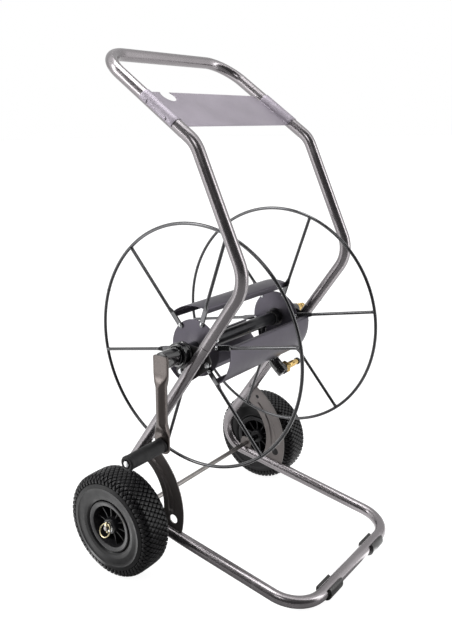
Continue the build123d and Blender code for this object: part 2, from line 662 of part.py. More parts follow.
parts = {
    "lower_frame_tube": lower_frame_tube(),
    "handle_tube": handle_tube(),
    "joint_screws": joint_screws(),
    "wheel_axle": wheel_axle(),
    "tool_tray": tray,
    "tray_rivets": Compound(children=tray_fixings),
    "reel_pipe": along_x(*PIPE_ENDS, PIPE_R, REEL, PIPE_BORE),
    "drum_sheet_upper": drum_sheet(SPOKE_ANGLES[0]),
    "drum_sheet_front": drum_sheet(SPOKE_ANGLES[2]),
    "drum_sheet_lower": drum_sheet(SPOKE_ANGLES[4]),
    "outlet_elbow": outlet_elbow(),
    "outlet_hose_tail": outlet_hose_tail(),
    "outlet_hose_ring": along_x(OUTLET_RING_X, OUTLET_RING_X + 7, 9.5, OUTLET_TAIL, 5),
    "pipe_stop_ring": along_x(COLLAR_END + 0.5, PIPE_ENDS[1], 20.5, REEL, PIPE_R),
    "inlet_swivel": inlet_swivel(),
    "inlet_connector": inlet_connector(),
}
for name, shape in paired.items():
    parts[name + "_inlet_side"] = shape
    parts[name + "_crank_side"] = mirror(shape, Plane.YZ)
crank_place = Pos(0, *REEL) * Rot(CRANK_LEAN, 0, 0)
crank_parts = {
    "crank_boss": crank_boss(),
    "crank_arm": crank_arm(),
    "hand_grip": hand_grip(),
    "grip_bolt": grip_bolt(),
    "grip_nut": grip_nut(),
}
for name, shape in crank_parts.items():
    parts[name] = crank_place * shape

boxes = [shape.bounding_box() for shape in parts.values()]
mid_x = (min(box.min.X for box in boxes) + max(box.max.X for box in boxes)) / 2
mid_y = (min(box.min.Y for box in boxes) + max(box.max.Y for box in boxes)) / 2
low_z = min(box.min.Z for box in boxes)
os.makedirs("parts", exist_ok=True)
for name, shape in parts.items():
    export_step(Pos(-mid_x, -mid_y, -low_z) * shape, "parts/" + name + ".step")
print("origin shift", round(-mid_x, 4), round(-mid_y, 4), round(-low_z, 4), "nodes", len(parts))
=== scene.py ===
from math import ceil, copysign, cos, degrees, pi, radians, sin, sqrt, tan

import bmesh
import bpy
from mathutils import Matrix, Vector, noise


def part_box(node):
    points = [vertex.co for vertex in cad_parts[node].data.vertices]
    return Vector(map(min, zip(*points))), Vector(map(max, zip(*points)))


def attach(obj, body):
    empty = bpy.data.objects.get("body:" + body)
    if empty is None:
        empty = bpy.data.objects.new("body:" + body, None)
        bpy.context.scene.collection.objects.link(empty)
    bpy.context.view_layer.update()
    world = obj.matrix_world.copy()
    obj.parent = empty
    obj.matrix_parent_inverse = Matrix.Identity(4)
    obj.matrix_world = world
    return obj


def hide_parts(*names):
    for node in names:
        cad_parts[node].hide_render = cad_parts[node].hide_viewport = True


# Garden hose reel cart: the looks.
# Meshes are made in millimetres, X across, -Y towards the front bar and +Z up, with the wheel axle
# straight above the origin, and are then moved into the row frame in metres.

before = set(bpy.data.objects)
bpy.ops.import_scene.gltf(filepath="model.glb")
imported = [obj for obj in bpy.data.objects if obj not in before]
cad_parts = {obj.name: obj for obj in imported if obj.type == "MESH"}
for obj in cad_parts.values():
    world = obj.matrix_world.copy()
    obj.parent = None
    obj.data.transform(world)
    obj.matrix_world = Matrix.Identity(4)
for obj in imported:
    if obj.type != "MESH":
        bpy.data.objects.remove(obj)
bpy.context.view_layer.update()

MM = 0.001
WHEEL_R = 130.0
axle_low, axle_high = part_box("wheel_axle")
ORIGIN = (axle_low + axle_high) / 2 - Vector((0, 0, WHEEL_R * MM))
TO_ROW = Matrix.Translation(ORIGIN) @ Matrix.Scale(MM, 4)

# Frame tubes
TUBE_R = 14.0
SIDE_X = 225.0
FRONT = (-460.0, 20.0)
REAR = (116.0, 124.9)
SEAM = (-211.0, 578.6)
KNEE = (-318.0, 727.1)
SHOULDER = (-195.9, 1005.6)
PUSH = (66.4, 1194.3)
REAR_BEND, FRONT_BEND = 66.0, 80.0
KNEE_BEND, SHOULDER_BEND, PUSH_BEND = 80.0, 70.0, 76.0
SEAM_GAP = 0.8

# Reel
REEL = (-135.7, 548.9)
RING_R, RING_X, WIRE_R = 284.5, 174.3, 4.0
SPOKES, SPOKE_PHASE = 6, 50.0
DISC_R, DRUM_R, PIPE_R = 67.5, 100.0, 16.0

# Wheels
WHEEL_X, HUB_HALF = 309.0, 34.5
AXLE = (0.0, WHEEL_R)

# Crank
CRANK_X, CRANK_RADIUS, CRANK_LEAN = 289.0, 196.0, 1.5
CRANK_TUBE_R, CRANK_FLAT_W, CRANK_FLAT_T = 13.0, 42.0, 5.0
GRIP_R, GRIP_END = 16.5, 404.0

SIDES = {1: "inlet_side", -1: "crank_side"}


# ---- outlines and paths
def fillet(points, closed=True, steps=5):
    """Outline through (a, b) or (a, b, radius) corners, each corner with a radius made an arc."""
    result = []
    count = len(points)
    for i, point in enumerate(points):
        corner = Vector(point[:2])
        radius = point[2] if len(point) > 2 else 0.0
        if radius <= 0 or (not closed and i in (0, count - 1)):
            result.append(corner)
            continue
        back = Vector(points[i - 1][:2]) - corner
        ahead = Vector(points[(i + 1) % count][:2]) - corner
        half = back.angle(ahead) / 2
        reach = min(radius / tan(half), 0.49 * back.length, 0.49 * ahead.length)
        radius = reach * tan(half)
        start = corner + back.normalized() * reach
        end = corner + ahead.normalized() * reach
        middle = corner + (back.normalized() + ahead.normalized()).normalized() * (radius / sin(half))
        turn = (start - middle).angle_signed(end - middle)
        for k in range(steps + 1):
            result.append(middle + Matrix.Rotation(-turn * k / steps, 2) @ (start - middle))
    return result


def bend(points, radii, step=4.0):
    """Centreline through the points with tangent arcs, finely divided."""
    corners = [Vector(point) for point in points]
    path = [corners[0]]
    for before, corner, after, radius in zip(corners, corners[1:], corners[2:], radii):
        back = (before - corner).normalized()
        ahead = (after - corner).normalized()
        half = back.angle(ahead) / 2
        reach = radius / tan(half)
        centre = corner + (back + ahead).normalized() * (radius / sin(half))
        start = corner + back * reach - centre
        end = corner + ahead * reach - centre
        turn = start.angle(end)
        count = max(4, ceil(turn / radians(step)))
        for k in range(count + 1):
            t = k / count
            path.append(centre + (start * sin((1 - t) * turn) + end * sin(t * turn)) / sin(turn))
    path.append(corners[-1])
    return path


def divide(path, longest):
    """The same line with no run longer than a given length."""
    result = [path[0]]
    for a, b in zip(path, path[1:]):
        count = max(1, ceil((b - a).length / longest))
        result += [a.lerp(b, k / count) for k in range(1, count + 1)]
    return result


def distances(path):
    """How far along the path each of its points is."""
    result = [0.0]
    for a, b in zip(path, path[1:]):
        result.append(result[-1] + (b - a).length)
    return result


def circle(radius, count=40):
    return [(radius * cos(2 * pi * k / count), radius * sin(2 * pi * k / count)) for k in range(count)]


def spaced(start, end, count):
    """Even steps from start to end, both included."""
    return [start + (end - start) * k / count for k in range(count + 1)]


def polar(r, angle):
    return Vector((r * cos(radians(angle)), r * sin(radians(angle))))


def arc(centre, r, start, end, count):
    """Points round a centre, between two angles in degrees."""
    return [Vector(centre) + polar(r, angle) for angle in spaced(start, end, count)]


def superellipse(half_w, half_t, power, count):
    """Section between a round tube and a flat bar."""
    outline = []
    for a, b in circle(1.0, count):
        across = half_w * copysign(abs(a) ** (2 / power), a)
        outline.append((across, half_t * copysign(abs(b) ** (2 / power), b)))
    return outline


def round_points(centre, u, v, r, count):
    """Points of a circle in the plane of u and v."""
    return [centre + u * a + v * b for a, b in circle(r, count)]


# ---- mesh makers
def new_mesh(name, bm):
    mesh = bpy.data.meshes.new(name)
    bm.to_mesh(mesh)
    bm.free()
    return mesh


def new_object(name, data):
    obj = bpy.data.objects.new(name, data)
    bpy.context.scene.collection.objects.link(obj)
    return obj


def skin(bm, rings, closed=False):
    """Faces between each ring of vertices and the next; a ring may be one vertex repeated."""
    pairs = list(zip(rings, rings[1:]))
    if closed:
        pairs.append((rings[-1], rings[0]))
    for one, two in pairs:
        for k in range(len(one)):
            n = (k + 1) % len(one)
            corners = [one[k], one[n], two[n], two[k]]
            distinct = [v for i, v in enumerate(corners) if v not in corners[:i]]
            if len(distinct) > 2:
                bm.faces.new(distinct)


def grid_faces(bm, grid):
    """Faces over rows of vertices, with a gap wherever a vertex is None."""
    for low, high in zip(grid, grid[1:]):
        for k in range(len(low) - 1):
            corners = (low[k], low[k + 1], high[k + 1], high[k])
            if None not in corners:
                bm.faces.new(corners)


def lathe(bm, outline, centre, steps, offset=0.0, closed=True):
    """Surface turned about an axis along X from an (x, radius) outline."""
    rings = []
    for x, r in outline:
        if r < 1e-4:
            rings.append([bm.verts.new((x + offset, *centre))] * steps)
            continue
        ring = circle(r, steps)
        rings.append([bm.verts.new((x + offset, centre[0] + a, centre[1] + b)) for a, b in ring])
    skin(bm, rings, closed)


def turned(outline, centre, steps, offset=0.0, closed=True):
    """New mesh turned from an outline with rounded corners."""
    bm = bmesh.new()
    lathe(bm, fillet(outline, closed), centre, steps, offset, closed)
    return bm


def sweep(bm, path, outlines, up=(1, 0, 0), closed=False):
    """Skin round a path, with one (a, b) outline for each of its points."""
    count = len(path)
    normal = Vector(up)
    rings = []
    for i, (point, outline) in enumerate(zip(path, outlines)):
        if closed:
            tangent = (path[(i + 1) % count] - path[i - 1]).normalized()
        else:
            tangent = (path[min(i + 1, count - 1)] - path[max(i - 1, 0)]).normalized()
        normal = (normal - tangent * normal.dot(tangent)).normalized()
        side = tangent.cross(normal)
        rings.append([bm.verts.new(point + normal * a + side * b) for a, b in outline])
    skin(bm, rings, closed)
    if not closed:
        bm.faces.new(rings[0])
        bm.faces.new(rings[-1])


def prism(bm, outline, origin, u, v, depth):
    """Plate with an outline in the (u, v) plane at origin, pushed along depth."""
    origin, u, v, depth = Vector(origin), Vector(u), Vector(v), Vector(depth)
    low = [bm.verts.new(origin + u * a + v * b) for a, b in outline]
    high = [bm.verts.new(vert.co + depth) for vert in low]
    bm.faces.new(low)
    bm.faces.new(high)
    skin(bm, [low, high])


def plate(bm, outline, x0, x1):
    """Plate in the YZ plane from x0 to x1."""
    prism(bm, outline, (x0, 0, 0), (0, 1, 0), (0, 0, 1), (x1 - x0, 0, 0))


def square_to(direction):
    """The direction at unit length and two more at right angles to it."""
    axis = Vector(direction).normalized()
    u = axis.orthogonal().normalized()
    return axis, u, axis.cross(u)


def hexagon(bm, across, height, at, direction, turn=0.0):
    """Hexagon nut or head with its corners turned down by a 28 degree chamfer."""
    at = Vector(at)
    axis, u, v = square_to(direction)
    land = across / 2 - 0.1
    base, shoulder, face = [], [], []
    for k in range(48):
        angle = 2 * pi * k / 48
        flat = across / 2 / cos((angle + pi / 6) % (pi / 3) - pi / 6)
        way = u * cos(angle + turn) + v * sin(angle + turn)
        drop = max(0.0, flat - land) * tan(radians(28))
        base.append(at + way * flat)
        shoulder.append(at + way * flat + axis * (height - drop))
        face.append(at + way * min(flat, land) + axis * height)
    rings = [[bm.verts.new(p) for p in level] for level in (base, shoulder, face)]
    skin(bm, rings)
    bm.faces.new(rings[0])
    bm.faces.new(rings[-1])


def dome(bm, radius, height, at, direction):
    """Low round rivet or screw head."""
    steps, rows, skirt = 28, 6, 0.4
    at = Vector(at)
    axis, u, v = square_to(direction)
    levels = [(radius, -0.3), (radius, skirt)]
    for k in range(1, rows):
        angle = pi / 2 * k / rows
        levels.append((radius * cos(angle), skirt + (height - skirt) * sin(angle)))
    rings = []
    for r, level in levels:
        rings.append([bm.verts.new(p) for p in round_points(at + axis * level, u, v, r, steps)])
    skin(bm, rings + [[bm.verts.new(at + axis * height)] * steps])
    bm.faces.new(rings[0])


def weld_bead(bm, path, radius, seed, pitch=3.2):
    """Rippled weld seam along a path."""
    fine = divide([Vector(p) for p in path], 0.8)
    travelled = distances(fine)
    outlines = []
    for s in travelled:
        ends = min(1.0, 3 * min(s, travelled[-1] - s) / radius + 0.25)
        wobble = 1 + 0.16 * noise.noise(Vector((s * 0.21, seed, 0)))
        ripple = 1 + 0.07 * abs(sin(pi * s / pitch))
        outlines.append(circle(radius * wobble * ripple * ends, 14))
    sweep(bm, fine, outlines, up=(0.3, 0.5, 0.8))


def soften(bm, width, limit, segments=2):
    """Small round on every edge sharper than a limit."""
    bmesh.ops.recalc_face_normals(bm, faces=bm.faces)
    edges = [
        edge
        for edge in bm.edges
        if len(edge.link_faces) == 2 and edge.calc_face_angle(0.0) > radians(limit)
    ]
    bmesh.ops.bevel(
        bm, geom=edges, offset=width, segments=segments, profile=0.6, affect="EDGES", clamp_overlap=True
    )


def mark_edges(bm):
    """Vertex value that is high on convex edges, for the materials' wear."""
    layer = bm.verts.layers.float.new("edge_wear")
    for vert in bm.verts:
        sharpest = 0.0
        for edge in vert.link_edges:
            if len(edge.link_faces) == 2:
                sharpest = max(sharpest, edge.calc_face_angle_signed(0.0))
        vert[layer] = min(1.0, max(0.0, (sharpest - 0.12) / 0.5))


def piece(name, bm, body, material, slot, *stands_for, side=0, sharp=32.0):
    """Object from a mesh in millimetres, moved into the row frame and tied to its body.

    A piece of one side gets that side's word after its name, its nodes and a body of that side.
    """
    if side:
        word = "_" + SIDES[side]
        name += word
        stands_for = [node + word for node in stands_for]
        if body not in ("frame", "reel"):
            body += word
    if side < 0:
        bmesh.ops.scale(bm, vec=(-1, 1, 1), verts=bm.verts)
    bmesh.ops.recalc_face_normals(bm, faces=bm.faces)
    mark_edges(bm)
    bmesh.ops.transform(bm, matrix=TO_ROW, verts=bm.verts)
    mesh = new_mesh(name, bm)
    mesh.shade_smooth()
    mesh.set_sharp_from_angle(angle=radians(sharp))
    mesh.materials.append(material)
    obj = new_object(name, mesh)
    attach(obj, body)
    if stands_for:
        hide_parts(*stands_for)


# ---- materials
def shade(colour, times, more=0.0):
    """Lighter or darker version of a colour."""
    return tuple(min(1.0, c * times + more) for c in colour)


def add_node(tree, kind, values=(), **settings):
    """New shader node with the given input values and settings."""
    node = tree.nodes.new("ShaderNode" + kind)
    for socket, value in dict(values).items():
        node.inputs[socket].default_value = value
    for key, value in settings.items():
        setattr(node, key, value)
    return node


class Look:
    """A procedural material under construction."""

    def __init__(self, name, colour, roughness, metallic=0.0, **more):
        self.material = bpy.data.materials.new(name)
        self.material.use_nodes = True
        self.tree = self.material.node_tree
        self.tree.nodes.clear()
        output = self.add("OutputMaterial")
        values = {"Base Color": (*colour, 1), "Roughness": roughness, "Metallic": metallic}
        for word, value in more.items():
            values[word.replace("_", " ")] = value
        self.shader = self.add("BsdfPrincipled", values)
        self.link(self.shader.outputs["BSDF"], output, "Surface")
        self.place = self.add("TexCoord").outputs["Object"]

    def add(self, kind, values=(), **settings):
        return add_node(self.tree, kind, values, **settings)

    def link(self, source, node, socket):
        self.tree.links.new(source, node.inputs[socket])

    def put(self, value, node, socket):
        """Links an output to the socket, or sets a number or colour there."""
        if isinstance(value, bpy.types.NodeSocket):
            self.link(value, node, socket)
        else:
            node.inputs[socket].default_value = (*value, 1) if isinstance(value, tuple) else value

    def stretched(self, scale):
        mapping = self.add("Mapping", {"Scale": scale})
        self.link(self.place, mapping, "Vector")
        return mapping.outputs["Vector"]

    def noise(self, scale, detail=3.0, rough=0.5, stretch=None, warp=0.0):
        values = {"Scale": scale, "Detail": detail, "Roughness": rough, "Distortion": warp}
        node = self.add("TexNoise", values)
        self.link(self.stretched(stretch) if stretch else self.place, node, "Vector")
        return node.outputs["Fac"]

    def fit(self, source, low, high, to_low=0.0, to_high=1.0):
        limits = {"From Min": low, "From Max": high, "To Min": to_low, "To Max": to_high}
        node = self.add("MapRange", limits, clamp=True)
        self.link(source, node, "Value")
        return node.outputs["Result"]

    def maths(self, operation, a, b):
        node = self.add("Math", operation=operation)
        self.put(a, node, 0)
        self.put(b, node, 1)
        return node.outputs[0]

    def mix(self, share, a, b):
        node = self.add("Mix", data_type="RGBA")
        self.link(share, node, "Factor")
        self.put(a, node, 6)
        self.put(b, node, 7)
        return node.outputs[2]

    def worn(self):
        """High on worn convex edges, broken up by noise."""
        edge = self.add("Attribute", attribute_name="edge_wear").outputs["Fac"]
        broken = self.fit(self.noise(900), 0.4, 0.62)
        return self.maths("MULTIPLY", self.fit(edge, 0.25, 1.0), broken)

    def colour(self, source):
        self.link(source, self.shader, "Base Color")

    def rough(self, source):
        self.link(source, self.shader, "Roughness")

    def bumps(self, *layers):
        """Stacks (height, strength, distance) bumps."""
        previous = None
        for height, strength, distance in layers:
            node = self.add("Bump", {"Strength": strength, "Distance": distance})
            self.link(height, node, "Height")
            if previous:
                self.link(previous, node, "Normal")
            previous = node.outputs["Normal"]
        self.link(previous, self.shader, "Normal")


def painted(name, colour, roughness, metallic=0.0, coat=0.0, peel=0.25, spread=0.3, chip=None, flake=0.0):
    """Sprayed paint: slight orange peel, cloudy tone, dulled patches, thin wear along edges."""
    look = Look(name, colour, roughness, metallic, Coat_Weight=coat, Coat_Roughness=0.12)
    cloud = look.noise(7.0, 4.0, 0.55)
    tone = look.mix(look.fit(cloud, 0.3, 0.7), shade(colour, 1 - spread), shade(colour, 1 + spread))
    if flake:
        flakes = look.add("TexVoronoi", {"Scale": 2600})
        look.link(look.place, flakes, "Vector")
        apart = look.add("SeparateColor")
        look.link(flakes.outputs["Color"], apart, "Color")
        tone = look.mix(look.fit(apart.outputs["Red"], 0.75, 1.0, 0, flake), tone, shade(colour, 2.2, 0.05))
    if chip:
        tone = look.mix(look.fit(look.worn(), 0.35, 0.9, 0, 0.55), tone, chip)
    look.colour(tone)
    scuff = look.fit(look.noise(45.0, 3.0, 0.5), 0.5, 0.75, 0, 0.06)
    patch = look.fit(look.noise(11.0, 2.0), 0.35, 0.7, roughness * 0.9, roughness * 1.15)
    look.rough(look.maths("ADD", patch, scuff))
    look.bumps((look.noise(160.0, 1.0), peel, 0.0001))
    return look.material


def moulded(name, colour, roughness, grain=0.25, coat=0.0, dust=0.15):
    """Moulded plastic: fine spark-eroded grain, faint flow marks and a little dust."""
    look = Look(name, colour, roughness, Coat_Weight=coat, Coat_Roughness=0.08)
    flow = look.fit(look.noise(16.0, 3.0), 0.3, 0.7)
    tone = look.mix(flow, shade(colour, 0.75), shade(colour, 1.3))
    dirt = look.fit(look.noise(60.0, 8.0, 0.65), 0.5, 0.8, 0, dust)
    tone = look.mix(dirt, tone, (0.16, 0.15, 0.14))
    tone = look.mix(look.fit(look.worn(), 0.2, 1.0, 0, 0.35), tone, shade(colour, 3, 0.04))
    look.colour(tone)
    look.rough(look.fit(look.noise(38.0, 4.0, 0.6), 0.3, 0.75, roughness * 0.8, min(1.0, roughness * 1.3)))
    look.bumps((look.noise(1500.0, 2.0), grain, 0.00012), (look.noise(90.0, 2.0), grain * 0.4, 0.0003))
    return look.material


def rubber(name, colour, roughness, dust=0.3, tops=None):
    """Black rubber with bloom, dust in its pores and paler scuffed tops."""
    look = Look(name, colour, roughness, Specular_IOR_Level=0.3)
    bloom = look.fit(look.noise(9.0, 5.0, 0.6), 0.35, 0.75)
    tone = look.mix(bloom, shade(colour, 0.75), shade(colour, 1.5))
    grit = look.fit(look.noise(240.0, 6.0, 0.7), 0.52, 0.8, 0, dust)
    tone = look.mix(grit, tone, (0.12, 0.115, 0.11))
    if tops:
        tone = look.mix(look.fit(look.worn(), 0.1, 0.9, 0, 0.5), tone, tops)
    look.colour(tone)
    look.rough(look.fit(look.noise(55.0, 5.0, 0.6), 0.3, 0.72, roughness * 0.78, min(1.0, roughness * 1.25)))
    look.bumps((look.noise(900.0, 3.0), 0.3, 0.0002), (look.noise(140.0, 3.0), 0.15, 0.0004))
    return look.material


def plated(name, colour, roughness, lathed=False, tint=None, stain=0.25):
    """Bare or plated metal: tool marks, fine scratches and a cloudy patina."""
    look = Look(name, colour, roughness, 1.0)
    stretch = (14.0, 1.0, 1.0) if lathed else (1.0, 1.0, 1.0)
    marks = look.noise(330.0, 3.0, 0.6, stretch=stretch)
    patina = look.fit(look.noise(70.0, 6.0, 0.65, warp=0.6), 0.42, 0.78, 0, stain)
    tone = look.mix(look.fit(marks, 0.3, 0.7), shade(colour, 0.86), shade(colour, 1.08))
    tone = look.mix(patina, tone, tint or shade(colour, 0.45))
    tone = look.mix(look.fit(look.worn(), 0.3, 1.0, 0, 0.5), tone, shade(colour, 1.25, 0.05))
    look.colour(tone)
    marked = look.fit(marks, 0.3, 0.7, roughness * 0.8, roughness * 1.25)
    look.rough(look.maths("ADD", marked, look.fit(patina, 0, 1, 0, 0.3)))
    look.bumps((marks, 0.12, 0.0001), (look.noise(1200.0, 2.0), 0.06, 0.00005))
    return look.material


FRAME_PAINT = painted(
    "frame_paint", (0.30, 0.279, 0.290), 0.24, metallic=0.92, coat=0.35, peel=0.02, spread=0.06,
    chip=(0.36, 0.35, 0.34), flake=0.05,
)
WELD_PAINT = painted(
    "weld_paint", (0.13, 0.12, 0.12), 0.42, metallic=0.8, peel=0.05, spread=0.15, chip=(0.2, 0.2, 0.2),
)
GUSSET_PAINT = painted(
    "gusset_paint", (0.150, 0.134, 0.130), 0.36, metallic=0.6, coat=0.15, peel=0.03, spread=0.10,
    chip=(0.30, 0.29, 0.28),
)
PLATE_PAINT = painted(
    "plate_paint", (0.03, 0.029, 0.029), 0.36, metallic=0.5, coat=0.2, peel=0.08, spread=0.25,
    chip=(0.20, 0.19, 0.18),
)
TRAY_PAINT = painted(
    "tray_paint", (0.38, 0.347, 0.395), 0.50, metallic=0.75, peel=0.04, spread=0.10,
    chip=(0.32, 0.31, 0.32), flake=0.15,
)
DRUM_PAINT = painted(
    "drum_paint", (0.100, 0.092, 0.112), 0.34, metallic=0.75, peel=0.04, spread=0.15,
    chip=(0.2, 0.2, 0.2), flake=0.1,
)
WIRE_PAINT = painted(
    "wire_paint", (0.06, 0.06, 0.064), 0.2, metallic=0.85, coat=0.9, peel=0.03, spread=0.2,
    chip=(0.2, 0.2, 0.2),
)
PIPE_PAINT = painted(
    "pipe_paint", (0.035, 0.035, 0.039), 0.30, metallic=0.7, coat=0.25, peel=0.03, spread=0.2,
    chip=(0.22, 0.22, 0.22),
)
CRANK_PAINT = painted(
    "crank_paint", (0.115, 0.098, 0.092), 0.28, metallic=0.85, coat=0.3, peel=0.03, spread=0.12,
    chip=(0.26, 0.25, 0.24),
)
GLOSS_PLASTIC = moulded("gloss_plastic", (0.008, 0.008, 0.009), 0.14, grain=0.02, coat=0.8, dust=0.03)
RIM_PLASTIC = moulded("rim_plastic", (0.015, 0.0145, 0.0165), 0.36, grain=0.12, dust=0.12)
BUSH_PLASTIC = moulded("bush_plastic", (0.03, 0.03, 0.03), 0.4, grain=0.15)
FOOT_PLASTIC = moulded("foot_plastic", (0.010, 0.010, 0.010), 0.3, grain=0.15, coat=0.3, dust=0.15)
SATIN_PLASTIC = moulded("satin_plastic", (0.012, 0.012, 0.013), 0.36, grain=0.1, dust=0.08)
TYRE_RUBBER = rubber("tyre_rubber", (0.0045, 0.0043, 0.0052), 0.33, dust=0.10, tops=(0.022, 0.021, 0.024))
GRIP_RUBBER = rubber("grip_rubber", (0.006, 0.006, 0.007), 0.5, dust=0.06)
ZINC = plated("zinc", (0.72, 0.73, 0.74), 0.26, stain=0.15)
AXLE_STEEL = plated(
    "axle_steel", (0.30, 0.285, 0.275), 0.32, lathed=True, stain=0.3, tint=(0.14, 0.12, 0.10),
)
YELLOW_ZINC = plated("yellow_zinc", (0.82, 0.72, 0.46), 0.28, stain=0.3, tint=(0.55, 0.50, 0.36))
BRASS = plated("brass", (0.80, 0.56, 0.22), 0.2, lathed=True, stain=0.2, tint=(0.42, 0.25, 0.08))


# ---- directions shared by several pieces
SLOPE = Vector((0, KNEE[0] - REAR[0], KNEE[1] - REAR[1])).normalized()
BEHIND = Vector((0, SLOPE.z, -SLOPE.y))
UP_HANDLE = Vector((0, PUSH[0] - SHOULDER[0], PUSH[1] - SHOULDER[1])).normalized()
TRAY_NORMAL = Vector((0, -UP_HANDLE.z, UP_HANDLE.y))


def on_slope(distance, x=SIDE_X):
    return Vector((x, *SEAM)) + SLOPE * distance


def reel_point(x, r, angle):
    return Vector((x, *(Vector(REEL) + polar(r, angle))))


REEL_ALONG = (Vector((0, *REEL)) - Vector((0, *SEAM))).dot(SLOPE)


def beside_slope(across, along, x):
    return on_slope(REEL_ALONG + along, x) + BEHIND * across


def cut(bm, tool):
    """bm with the closed mesh of tool taken out of it."""
    for source in (bm, tool):
        bmesh.ops.recalc_face_normals(source, faces=source.faces)
    objects = [new_object("cutting", new_mesh("cutting", source)) for source in (bm, tool)]
    body, cutter = objects
    modifier = body.modifiers.new("cut", "BOOLEAN")
    modifier.object = cutter
    modifier.solver = "EXACT"
    result = bmesh.new()
    result.from_object(body, bpy.context.evaluated_depsgraph_get())
    for obj in objects:
        mesh = obj.data
        bpy.data.objects.remove(obj)
        bpy.data.meshes.remove(mesh)
    return result


def drill(bm, *holes):
    """Round holes along X through a plate, each (x, y, z, radius)."""
    tool = bmesh.new()
    for x, y, z, r in holes:
        lathe(tool, [(-12, 0), (-12, r), (12, r), (12, 0)], (y, z), 56, x, closed=False)
    return cut(bm, tool)


# ---- frame
def frame_tube(name, half, radii, node, ends_at_seam):
    """One bent tube of the frame, the same on both sides."""
    left = [(-x, y, z) for x, y, z in half]
    path = divide(bend(left + half[::-1], radii + radii[::-1]), 45)
    path.insert(1, path[0] + (path[1] - path[0]).normalized() * 0.5)
    path.insert(-1, path[-1] + (path[-2] - path[-1]).normalized() * 0.5)
    rim = circle(TUBE_R - 0.5)
    outlines = [rim] + [circle(TUBE_R)] * (len(path) - 2) + [rim]
    bm = bmesh.new()
    sweep(bm, path, outlines)
    if ends_at_seam:
        for x in (-SIDE_X, SIDE_X):
            spigot = [on_slope(-2, x), on_slope(3, x)]
            sweep(bm, spigot, [circle(TUBE_R - 1.6)] * 2)
    piece(name, bm, "frame", FRAME_PAINT, "frame_paint", node)


def tube_frame():
    base = [tuple(on_slope(0)), (SIDE_X, *REAR), (SIDE_X, *FRONT)]
    frame_tube("frame_base_tube", base, [REAR_BEND, FRONT_BEND], "lower_frame_tube", True)
    upper = [tuple(on_slope(SEAM_GAP)), (SIDE_X, *KNEE), (SIDE_X, *SHOULDER), (SIDE_X, *PUSH)]
    frame_tube("push_handle_tube", upper, [KNEE_BEND, SHOULDER_BEND, PUSH_BEND], "handle_tube", False)
    bm = bmesh.new()
    for x in (-SIDE_X, SIDE_X):
        seat = on_slope(32, x) - BEHIND * (TUBE_R - 0.5)
        dome(bm, 4.5, 2.9, seat, -BEHIND)
    piece("joint_screw_heads", bm, "frame", ZINC, "zinc", "joint_screws")


# ---- gussets and lugs
OUTER_ARC = ((58.0, 150.0), 188.0, 114.0, 203.0)
INNER_ARC = ((52.0, 160.0), 122.0, 109.0, 215.0)
LOW_HOLE = (-99.0, 127.0, 11.5)
TOP_HOLE = (-39.0, 283.0, 6.0)


def arc_point(arc, t):
    centre, r, start, end = arc
    return Vector(centre) + polar(r, start + (end - start) * t)


def smooth_step(low, high, value):
    t = min(1.0, max(0.0, (value - low) / (high - low)))
    return t * t * (3 - 2 * t)


def channel_height(t, w):
    """Height of the pressed channel at a share t down the band and w across it from outside."""
    along = smooth_step(0.17, 0.24, t) * (1 - smooth_step(0.70, 0.755, t))
    half = 0.07 + 0.10 * smooth_step(0.2, 0.7, t)
    middle = 0.60 - 0.02 * t
    across = 1 - smooth_step(half * 0.55, half, abs(w - middle))
    return 2.4 * along * across


def gusset(side):
    """Pressed plate in front of the wheel, with a raised channel and two holes."""
    rows, columns = 110, 34
    bm = bmesh.new()
    skins = []
    for face in (-1, 1):
        grid = []
        for t in spaced(0, 1, rows):
            outer, inner = arc_point(OUTER_ARC, t), arc_point(INNER_ARC, t)
            line = []
            for w in spaced(0, 1, columns):
                y, z = outer.lerp(inner, w)
                edge = min(w, 1 - w) * 64
                lean = 0.35 * max(0.0, 1 - edge / 1.2)
                x = SIDE_X + channel_height(t, w) + face * (1.5 - lean)
                line.append(bm.verts.new((x, y, z)))
            grid.append(line)
        skins.append(grid)
    for grid in skins:
        grid_faces(bm, grid)
    one, two = skins
    rim = [(0, j) for j in range(columns)] + [(i, columns) for i in range(rows)]
    rim += [(rows, j) for j in range(columns, 0, -1)] + [(i, 0) for i in range(rows, 0, -1)]
    for k, (i, j) in enumerate(rim):
        m, n = rim[(k + 1) % len(rim)]
        bm.faces.new((one[i][j], one[m][n], two[m][n], two[i][j]))
    holes = [(SIDE_X, *LOW_HOLE), (SIDE_X, *TOP_HOLE)]
    bm = drill(bm, *holes)
    piece("gusset_plate", bm, "frame", GUSSET_PAINT, "frame_paint", "gusset", side=side)


def frame_welds(side):
    """Weld seams where the gusset and the axle lug meet the tubes."""
    bm = bmesh.new()
    base_way = (Vector((0, *REAR)) - Vector((0, *FRONT))).normalized()
    base_up = Vector((0, -base_way.z, base_way.y))
    under = TUBE_R - 0.6
    bar = Vector((SIDE_X, *FRONT)) + base_up * under
    for start, run, out, radius, seed in (
        (bar + base_way * 352, base_way * 46, 1.8, 2.3, 3),
        (bar + base_way * 452, base_way * 30, 2.6, 2.0, 5),
        (on_slope(-352) - BEHIND * under, SLOPE * 44, 1.8, 2.3, 9),
    ):
        start = start + Vector((out, 0, 0))
        weld_bead(bm, [start, start + run], radius, seed * side)
    piece("weld_seams", bm, "frame", WELD_PAINT, "frame_paint", side=side)


def axle_lug(side):
    bm = bmesh.new()
    outline = [(-17, 138, 5), (-13, 147, 6), (13, 148, 6), (18, 138, 5)]
    outline += [(24, 112, 3), (6, 96), (-12, 94, 3)]
    plate(bm, fillet(outline), SIDE_X - 2.5, SIDE_X + 2.5)
    soften(bm, 0.5, 50)
    piece("axle_lug_plate", bm, "frame", GUSSET_PAINT, "frame_paint", "axle_lug", side=side)


